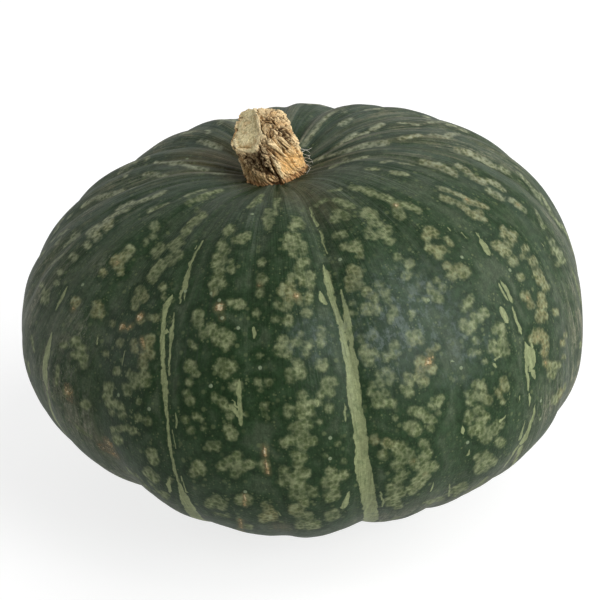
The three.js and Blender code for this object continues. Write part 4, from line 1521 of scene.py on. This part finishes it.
def makeRind():
    material, tree, shader = newMaterial("squashRind")
    at = readSkin(tree)
    at["stripe"] = stripeDepth(tree, at)
    spot, upper = at["spot"], at["upper"]
    clouds, dots = cloudLayer(at), dotLayer(tree, at)
    corkShare, scabShare = corkLayer(at)
    hearts = product(between(corkShare, 0.5, 0.95), between(pattern(at, "hearts"), 0.42, 0.6))
    rustColour = mottle(spot, 0.9, 0.3, blend(hearts, rind["rust"], rind["rustHeart"]))
    scarShare = between(at["scar"], 0.15, 0.6)
    colour = painted(
        groundColour(at),
        clouds,
        stripeLayer(tree, at),
        # painted sheen, with a little of the skin's real wax
        bloomAndSheenLayer(at),
        (product(scabShare, 0.6), rind["brown"]),
        (between(at["rust"], -1.2, 0.2, 0.0, 0.35), rind["cloudWarm"]),
        (product(corkShare, 0.9), rustColour),
        dots,
        (scarShare, mottle(spot, 1.2, 0.45, rind["scar"])))

    # Waxy gloss, duller on the clouds and the corky marks, over fine pores.
    dull = largest(corkShare, scarShare, dots[0])
    rough = total(rind["roughness"], product(clouds[0], 0.08), centred(pattern(at, "gloss"), 0.26),
                  product(dull, 0.3), product(upper, 0.1))
    height = total(
        product(between(voronoi(spot, rind["poreSize"])["Distance"], 0.25, 0.6), rind["poreHeight"]),
        product(pattern(at, "ripples"), rind["rippleHeight"]),
        product(pattern(at, "lines"), largest(upper, at["weathered"]), rind["lineHeight"]),
        product(pattern(at, "grain"), rind["grainHeight"]),
        product(dull, calc("MULTIPLY_ADD", pattern(at, "corkGrain"), 0.3, 0.12)))
    fill(shader, {"Base Color": colour, "Roughness": rough, "Specular IOR Level": rind["specular"],
                  "Normal": bumpOf(height)})
    return material


squashSkin.data.materials.append(makeRind())
print("rind made")

# The stem's form repeats the solid's own sizes too.
stem = {
    "footRadius": 9.8, "topRadius": 8.8, "height": 20.9, "lean": (-6.0, 0.8), "bulge": 0.9,
    "lipReach": 0.4, "lipHeight": 3.0, "flareReach": 0.9, "flareHeight": 2.0, "footPower": 4.0,
    "ridges": 5, "ridgeDepth": 0.7,
    "cutHeight": 18.5, "cutSlope": (0.72, 0.62), "crownCurve": 0.04, "cutBlend": 0.8,
    "columns": 420, "sideRings": 170, "topRings": 50, "footRings": 6, "sink": 0.9,
    "girth": 9.3,
    "twist": 0.055,  # radians that the grain turns in each millimetre of height
    "plateSize": (2.4, 2.4, 5.6), "plateDepth": 0.8, "plateLift": 0.4,
    "chipSize": (0.95, 0.95, 2.2), "chipDepth": 0.3, "chipLift": 0.2,
    "fibreSize": (0.33, 0.33, 3.0), "fibreDepth": 0.2,
    "crackWidth": 0.15, "chipGap": 0.24,  # as shares of a plate's and a chip's size
    "pitSize": 0.75, "pitDepth": 0.8, "edgeLift": 0.6, "flangeLift": 0.35, "gashDepth": 0.7,
    "sawSize": (0.6, 0.6, 2.6), "sawDepth": 0.2, "dishSize": 3.5, "dishDepth": 0.45, "cutSink": 0.3,
    "strokeWaver": 1.3,  # pixels by which the strokes below are bent by noise
}

# What the photograph shows on the stem. Strokes are pixels with half the stroke's width in pixels there, and
# spots are pixels with a radius in pixels and a strength.
cutEdge = [
    (254, 106, 1.2), (257, 116, 1.5), (259.5, 126, 1.6), (262, 134, 1.8), (259, 141, 2.2), (255.5, 149, 1.8),
]
cutRim = [(233.5, 139, 1.2), (235, 145, 1.6), (240, 150, 1.6), (249, 151.5, 1.2)]
flange = [(273, 155, 1.0), (276, 162, 1.6), (279.5, 170, 2.0), (282, 176, 1.6)]
gashesAndFlangeShadow = [
    # The first of these is painted shadow along the flange's left side, dug in a little; the rest are
    # cracks.
    [(271, 157, 0.8), (272.5, 166, 1.3), (276, 174, 1.6), (280, 179, 1.0)],
    [(261, 119, 0.5), (269.5, 120, 0.5)], [(263.5, 121.5, 0.4), (270.5, 123, 0.7)],
    [(271, 120, 0.6), (275, 124, 0.8)], [(270, 113.5, 0.7), (274.5, 118, 0.8)],
    [(276, 113.5, 0.8), (280.5, 117.5, 0.8)], [(277, 126.5, 0.7), (283, 133, 0.8), (290, 142, 0.5)],
    [(286, 130, 0.5), (291, 136, 0.8)], [(278, 140, 0.6), (283.5, 146, 0.9), (288, 150, 0.6)],
    [(268, 148, 0.4), (274, 153.5, 0.7), (281, 160, 0.4)],
    [(260, 124, 0.4), (262, 130, 0.6), (264, 134, 0.4)], [(296, 148, 0.5), (299, 156, 0.7), (301, 160, 0.4)],
    [(284.5, 139, 0.4), (291, 146, 0.6)], [(259, 146, 0.8), (262, 153, 0.6)],
    [(266, 168, 0.7), (270, 173, 1.0), (276, 177, 0.9)], [(238, 147.5, 0.4), (251, 147, 0.5)],
]
notches = [(244.5, 125.5, 1.2, 0.8), (240.5, 117, 2.0, 0.7), (236, 129, 1.6, 0.8), (233.5, 138.5, 1.1, 1)]
pittedSpots = [
    (257, 159, 8, 0.9), (264, 166, 8, 1), (252, 152, 5, 0.5), (262, 149, 5, 0.6), (248, 165, 6, 0.5),
]
orangeSpots = [
    (295, 158, 9, 1), (287, 167, 9, 1), (301, 162, 6, 0.8), (262, 178, 8, 0.7), (246, 170, 7, 0.5),
]
smoothSpots = [
    (262, 113, 5, 1), (266, 129, 5, 0.7), (294, 161, 9, 0.9), (285, 169, 8, 0.9), (276, 147, 6, 0.5),
]


def stemTopHeight(x, y):
    # the lower of the slanting cut and the domed crown, joined softly
    cut = stem["cutHeight"] + stem["cutSlope"][0] * x + stem["cutSlope"][1] * y
    crown = stem["height"] - stem["crownCurve"] * (x * x + y * y)
    soft = stem["cutBlend"]
    return -soft * np.log(np.exp(-cut / soft) + np.exp(-crown / soft))


def rimHeight(angle, spread):
    reach = stem["topRadius"] * spread
    return stemTopHeight(reach * np.sin(angle), -reach * np.cos(angle))


def stemForm(angle, height, spread):
    # a leaning cone with a bulge half way up, low ridges, a flared foot and a lip below the cut's left edge
    share = height / stem["height"]
    flare = stem["flareReach"] * np.exp(-height / stem["flareHeight"])
    bulge = stem["bulge"] * np.sin(np.pi * np.clip(share, 0, 1))
    belowRim = rimHeight(angle, 1) - height
    leftward = np.maximum(-np.sin(angle), 0) ** 2
    lip = stem["lipReach"] * leftward * np.exp(-((belowRim / stem["lipHeight"]) ** 2))
    ridge = stem["ridgeDepth"] * np.cos(stem["ridges"] * angle + share) * smoothShare(2 * share)
    cone = mix(stem["footRadius"] - stem["flareReach"], stem["topRadius"], share)
    radius = (cone + flare + bulge + ridge + lip) * spread
    x = stem["lean"][0] * share + radius * np.sin(angle)
    y = stem["lean"][1] * share - radius * np.cos(angle)
    return np.stack([x, y, height * np.ones_like(x)], axis=-1)


def insideStroke(pixels, stroke):
    # from 0 to 1 over the pixel at a stroke's edge: half its width less the distance to it
    stroke = np.asarray(stroke, float)
    inside = np.full(pixels.shape[:-1], -9.0)
    for start, end in zip(stroke[:-1], stroke[1:]):
        _, held, offset = towardsLine(pixels, start[:2], end[:2])
        inside = np.maximum(inside, mix(start[2], end[2], held) - lengths(offset))
    return smoothShare(inside + 0.5)


def softSpots(pixels, given):
    # the sum of soft bells, held at 1
    bells = [power * np.exp(-((lengths(pixels - (x, y)) / radius) ** 2)) for x, y, radius, power in given]
    return np.minimum(sum(bells), 1)


def corkPlates(grain, smooth):
    # plates of their own heights along the twisted grain, parted by cracks, with chips and fibres on them
    wobble = np.stack([layeredNoise(grain / 3.0, 60 + k) for k in range(3)], axis=-1)
    bent = grain + wobble * (0.9, 0.9, 1.6)
    nearest, second, own = cells(bent / stem["plateSize"], 70)
    broken = gently(layeredNoise(grain / 2.2, 88), -0.45, 0.5)
    crack = (1 - smoothShare((second - nearest) / stem["crackWidth"])) * mix(0.35, 1, broken)
    nearest, second, chipOwn = cells(bent / stem["chipSize"], 80)
    chipped = gently(layeredNoise(grain / 4.0, 85), -0.35, 0.4)
    chip = (1 - smoothShare((second - nearest) / stem["chipGap"])) * chipped
    height = stem["plateLift"] * (2 * own - 1) * (1 - crack)
    height -= stem["plateDepth"] * crack * (1 - 0.6 * smooth)
    height += stem["chipLift"] * (2 * chipOwn - 1) - stem["chipDepth"] * chip * (1 - smooth)
    height += stem["fibreDepth"] * layeredNoise(bent / stem["fibreSize"], 90) * (1 - 0.5 * smooth)
    return height, crack * (1 - 0.5 * smooth), chip * (1 - smooth), 0.6 * own + 0.4 * chipOwn


def plainStem(angle):
    # rings over the cut top, down the side to a foot that follows the skin, and inward under it; how far out
    # each ring of the top lies, and the foot's ring
    footSlant = np.arcsin((stem["footRadius"] / fruit["radius"]) ** (1 / fruit["upperFullness"]))
    foot = onFruit(angle, np.full_like(angle, footSlant / lowestSlant)) - stemPlace - (0, 0, stem["sink"])
    spread = (np.arange(1, stem["topRings"] + 1) / stem["topRings"])[:, None] ** 0.8
    top = stemForm(angle, rimHeight(angle, spread), spread)
    down = (np.arange(1, stem["sideRings"] + 1) / stem["sideRings"])[:, None]
    height = mix(rimHeight(angle, 1), foot[..., 2], down)
    side = mix(stemForm(angle, height, 1), foot, down[..., None] ** stem["footPower"])
    inward = (np.arange(1, stem["footRings"] + 1) / (stem["footRings"] + 1))[:, None, None]
    below = mix(foot, stemBottom, inward)
    return np.concatenate([top, side, below]), spread, foot


stemBottom = np.array([0, 0, -0.5 - stem["sink"]])  # from the pole of the fruit


def makeStem():
    angle = np.linspace(0, fullTurn, stem["columns"], endpoint=False)[None]
    plain, spread, foot = plainStem(angle)
    normals = outwardNormals(plain)
    ringsBelow = len(plain) - len(spread)
    spreads = np.append(spread, np.ones(ringsBelow))[:, None] + 0 * angle
    onTop = np.append(np.ones(len(spread)), np.zeros(ringsBelow))[:, None]
    pixels = toPhoto(plain + stemPlace)
    seen = smoothShare(facing(plain + stemPlace, normals) / 0.15)
    waver = np.stack([layeredNoise(plain / 1.4, seed) for seed in (130, 133)], axis=-1)
    bent = pixels + stem["strokeWaver"] * waver
    edge, rim, fin = (seen * insideStroke(bent, stroke) for stroke in (cutEdge, cutRim, flange))
    # the cracks' strokes, and the painted shadow beside the flange
    gashAndShadow = seen * np.max([insideStroke(bent, stroke) for stroke in gashesAndFlangeShadow], axis=0)
    notch, pitted, orange, smooth = (
        seen * softSpots(bent, spots) for spots in (notches, pittedSpots, orangeSpots, smoothSpots))

    # The cut is the part of the top to the left of its pale edge, and cork covers the rest.
    edgeColumn, edgeRow, _ = np.array(cutEdge).T
    leftward = np.interp(pixels[..., 1], edgeRow, edgeColumn) - pixels[..., 0]
    ragged = layeredNoise(plain / 1.2, 120)
    onCut = onTop * smoothShare(0.5 + (leftward + 1.2 * ragged) / 2)
    onCut *= smoothShare((1 - spreads) * 12 + ragged)
    turned = angle + stem["twist"] * plain[..., 2]
    girth = stem["girth"] * spreads
    grain = np.stack([girth * np.sin(turned), girth * np.cos(turned), plain[..., 2]], axis=-1)
    cork, crack, chip, own = corkPlates(grain, smooth)
    cork -= stem["pitDepth"] * gently(layeredNoise(plain / stem["pitSize"], 99), -0.05, 0.3) * pitted
    sawn = stem["sawDepth"] * layeredNoise(plain / stem["sawSize"], 110, 3) - stem["cutSink"]
    sawn += stem["dishDepth"] * layeredNoise(plain / stem["dishSize"], 115)
    height = mix(cork, sawn, onCut) - stem["gashDepth"] * np.maximum(gashAndShadow, 0.4 * notch)
    height += stem["edgeLift"] * np.maximum(edge, 0.7 * rim) * (1 - gashAndShadow) + stem["flangeLift"] * fin
    ringsAbove = len(plain) - stem["footRings"]
    height *= np.append(np.ones(ringsAbove), np.linspace(0.4, 0, stem["footRings"]))[:, None]
    points = plain + normals * height[..., None] + stemPlace
    points[..., 2] = np.minimum(points[..., 2], cadBox[1][2] / mm)
    made = closedMesh("squashStem", points, points[0].mean(axis=0), stemPlace + stemBottom)
    keepField(made, "grain", grain)
    keepField(made, "plates", np.stack([np.maximum(crack, gashAndShadow), chip, own], axis=-1))
    keepField(made, "corkTints", np.stack([orange, pitted, smooth], axis=-1))
    keepField(made, "cut", np.stack([onCut, np.max([edge, 0.7 * rim, 0.7 * fin], axis=0), notch], axis=-1))
    keepField(made, "aboveFoot", plain[..., 2] - foot[..., 2])
    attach(made, "root")
    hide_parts("stem")
    return made


squashStem = makeStem()
print("stem made")

corkColours = {
    "plate": (0.66, 0.42, 0.19),
    "light": (0.93, 0.72, 0.41),
    "orange": (0.86, 0.50, 0.17),
    "crack": (0.110, 0.060, 0.026),
    "pit": (0.050, 0.030, 0.016),
    "cut": (0.66, 0.55, 0.29),
    "cutLight": (0.93, 0.82, 0.50),
    "edge": (0.95, 0.80, 0.49),
    "foot": (0.56, 0.29, 0.115),
    "roughness": 0.85,
    "specular": 0.2,
    "fibreHeight": 0.25,  # of the bump, in millimetres, as is the next
    "grainHeight": 0.12,
}


def makeCork():
    # plates of two tones with fibres along the grain, and over them the pits, the foot and the pale cut
    material, tree, shader = newMaterial("squashCork")
    spot = inMillimetres(tree)
    alongGrain = stretched(field(tree, "grain", "Vector"), 0.22)
    crack, chip, own = threeFields(tree, "plates")
    orange, pitted, smooth = threeFields(tree, "corkTints")
    onCut, edge, notch = threeFields(tree, "cut")
    fibres = noise(alongGrain, 0.45, 3.0, 0.65)
    sawn = noise(stretched(spot, 0.3), 0.6, 3.0, 0.65)
    worn = noise(stretched(spot, 0.4), 2.2, 3.0, 0.6)
    plate, light, dark = corkColours["plate"], corkColours["light"], corkColours["crack"]
    cutColour = painted(
        corkColours["cut"],
        (between(sawn, 0.4, 0.6), corkColours["cutLight"]),
        (between(worn, 0.5, 0.66, 0.0, 0.5), plate))
    tone = total(product(own, 0.45), noise(alongGrain, 1.4, 4.0, 0.7))
    lines = product(between(fibres, 0.52, 0.64), calc("MULTIPLY_ADD", smooth, -0.35, 0.7))
    brownPits = product(pitted, between(noise(spot, 0.7, 3.0, 0.65), 0.44, 0.58))
    # cracks, notches and the painted shadow beside the flange, all painted dark
    deep = largest(product(crack, calc("MULTIPLY_ADD", onCut, -0.5, 1.0)), notch)
    colour = painted(
        plate,
        (between(tone, 0.52, 0.86), light),
        (product(orange, 0.75), corkColours["orange"]),
        (lines, dark),
        (between(fibres, 0.46, 0.36, 0.0, 0.5), light),
        (product(pitted, 0.35), dark),
        (between(field(tree, "aboveFoot"), 2.6, 1.4, 0.0, 0.75), corkColours["foot"]),
        (brownPits, corkColours["pit"]),
        (between(chip, 0.3, 0.9, 0.0, 0.55), dark),
        (onCut, cutColour),
        (product(edge, 0.8), corkColours["edge"]),
        (between(deep, 0.3, 0.85, 0.0, 0.93), dark))
    height = total(product(fibres, corkColours["fibreHeight"]),
                   product(noise(spot, 0.35), corkColours["grainHeight"]))
    fill(shader, {"Base Color": mottle(spot, 0.7, 0.2, colour), "Roughness": corkColours["roughness"],
                  "Specular IOR Level": corkColours["specular"], "Normal": bumpOf(height)})
    return material


squashStem.data.materials.append(makeCork())
print("cork made")

# Pale hairs of torn fibre that lie over the skin beside the stem's foot: pixels along each.
hairPaths = [
    (303, 152, 306, 150.5, 309, 150, 312, 148), (304, 158, 308, 158.5, 311, 160, 313, 164),
    (305, 164, 308, 166, 310.5, 168.5, 311, 172), (300, 149, 304, 150, 308, 151.5, 311, 154),
    (304, 160, 307, 162, 310, 162.5, 313, 161.5), (302, 154, 306, 154, 308, 156, 309, 159),
    (300, 168, 303, 170, 305, 172.5, 306, 175), (305, 156, 308, 155, 311, 156, 314, 156),
    (303, 166, 306, 165, 309, 165.5, 312, 167),
]
hair = {
    "radius": 0.075,
    "taper": (1.3, 0.3),  # of the radius, from the first end to the last
    "sides": 5,
    "steps": 12,
    "lift": 0.1,
    "arch": (0.144, 0.072),  # height of the arch, as at the first end and at the last
    "colour": (0.97, 0.95, 0.88),
    "roughness": 0.8,
}


def makeHairs():
    # thin tubes that arch over the skin, with flat ends: rings of points across the way that each hair goes
    sides, steps = hair["sides"], hair["steps"]
    share = np.linspace(0, 1, steps)
    turn = (np.arange(sides) * fullTurn / sides)[:, None]
    rings = []
    for path in hairPaths:
        line = onFruit(*placeOnFruit(path))
        given = np.linspace(0, 1, len(line))
        line = np.stack([np.interp(share, given, column) for column in line.T], axis=-1)
        line[:, 2] += hair["lift"] + np.sin(np.pi * share) * np.linspace(*hair["arch"], steps)
        forward = unit(np.gradient(line, axis=0))
        sideways = unit(np.cross(forward, (0, 0, 1)))
        upward = np.cross(sideways, forward)
        ring = np.cos(turn) * sideways[:, None] + np.sin(turn) * upward[:, None]
        radius = hair["radius"] * np.linspace(*hair["taper"], steps)
        rings.append(line[:, None] + radius[:, None, None] * ring)
    index = np.arange(len(rings) * steps * sides).reshape(len(rings), steps, sides)
    following = np.roll(index, -1, axis=2)
    walls = np.stack([index[:, :-1], index[:, 1:], following[:, 1:], following[:, :-1]], axis=-1)
    faces = walls.reshape(-1, 4).tolist() + index[:, 0].tolist() + index[:, -1, ::-1].tolist()
    mesh = bpy.data.meshes.new("stemHairs")
    mesh.from_pydata((np.array(rings).reshape(-1, 3) * mm).tolist(), [], faces)
    made = placed("stemHairs", mesh)
    material, _, shader = newMaterial("paleFibre")
    fill(shader, {"Base Color": hair["colour"], "Roughness": hair["roughness"]})
    mesh.materials.append(material)
    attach(made, "root")


makeHairs()
print("hairs made")

studio = {
    "floorSide": 12.0,
    "floorLevel": -0.0001,  # a hair under the fruit, so that the flat spot and the floor don't share a plane
    "floorColour": (0.38, 0.38, 0.38),
    "floorRoughness": 0.9,
    "floorSpecular": 0.1,
    "floorGlow": 0.38,  # the light that the floor gives to the fruit, beside what it throws back
    "floorSeenGlow": (0.76, 0.96),  # what the camera sees near the fruit, where shadows stay pale, and far
    "floorFar": (1.2, 2.4),
    "surroundings": 0.10,  # how bright the white room is as a light; the camera sees it as plain white
    "aim": (0.0, 0.0, 0.05),
    # each softbox: its place, its side and its power in watts
    "softboxes": {
        "key": ((0.75, -0.25, 1.35), 1.1, 9.5),
        "frontRight": ((1.10, -1.00, 0.80), 0.8, 14.0),
        "rear": ((0.0, 1.50, 1.0), 2.0, 9.0),
        "left": ((-1.6, 0.2, 0.7), 1.0, 7.5),
        "right": ((1.6, 0.2, 0.7), 1.0, 10.0),
    },
}


def makeFloor():
    # a square that can't be seen from below, so that the fruit's underside can
    half, level = studio["floorSide"] / 2, studio["floorLevel"]
    corners = [(-half, -half, level), (half, -half, level), (half, half, level), (-half, half, level)]
    mesh = bpy.data.meshes.new("floor")
    mesh.from_pydata(corners, [], [(0, 1, 2, 3)])
    made = placed("floor", mesh)
    material, tree, shader = newMaterial("paleFloor")
    seen = node(tree, "LightPath", {}).outputs["Is Camera Ray"]
    away = vectorCalc("LENGTH", node(tree, "TexCoord", {}).outputs["Object"])
    seenGlow = between(away, *studio["floorFar"], *studio["floorSeenGlow"])
    extraGlow = calc("SUBTRACT", seenGlow, studio["floorGlow"])
    fill(shader, {
        "Base Color": studio["floorColour"], "Roughness": studio["floorRoughness"],
        "Specular IOR Level": studio["floorSpecular"], "Emission Color": (1.0, 1.0, 1.0),
        "Emission Strength": calc("MULTIPLY_ADD", seen, extraGlow, studio["floorGlow"])})
    below = node(tree, "NewGeometry", {}).outputs["Backfacing"]
    clear = node(tree, "BsdfTransparent", {}).outputs[0]
    oneSided = node(tree, "MixShader", {"Fac": below, 1: shader.outputs["BSDF"], 2: clear})
    put(tree.nodes["Material Output"].inputs["Surface"], oneSided.outputs[0])
    mesh.materials.append(material)
    made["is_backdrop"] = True


def addSoftbox(name, place, size, power):
    # a square light that faces the fruit's middle
    data = bpy.data.lights.new(name, "AREA")
    data.shape = "SQUARE"
    data.size = size
    data.energy = power
    made = placed(name, data)
    lookFrom(made, place, studio["aim"])
    made.visible_camera = False


def makeRoom():
    world = bpy.data.worlds.new("paleRoom")
    bpy.context.scene.world = world
    world.use_nodes = True
    tree = world.node_tree
    tree.nodes.clear()
    seen = node(tree, "LightPath", {}).outputs["Is Camera Ray"]
    strength = calc("MULTIPLY_ADD", seen, 1 - studio["surroundings"], studio["surroundings"])
    sky = node(tree, "Background", {"Color": (1.0, 1.0, 1.0), "Strength": strength})
    node(tree, "OutputWorld", {"Surface": sky.outputs[0]})
    bpy.context.scene.view_settings.view_transform = "Standard"


makeFloor()
makeRoom()
for softboxName, softbox in studio["softboxes"].items():
    addSoftbox(softboxName + "Softbox", *softbox)
print("room made")


def writeSizes():
    # the two boxes, as plain lists of metres
    boxes = {"cad": cadBox, "visual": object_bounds()}
    plain = {name: [list(corner) for corner in box] for name, box in boxes.items()}
    for name, box in plain.items():
        print(name, "box in mm", [[round(c / mm, 2) for c in corner] for corner in box])


writeSizes()
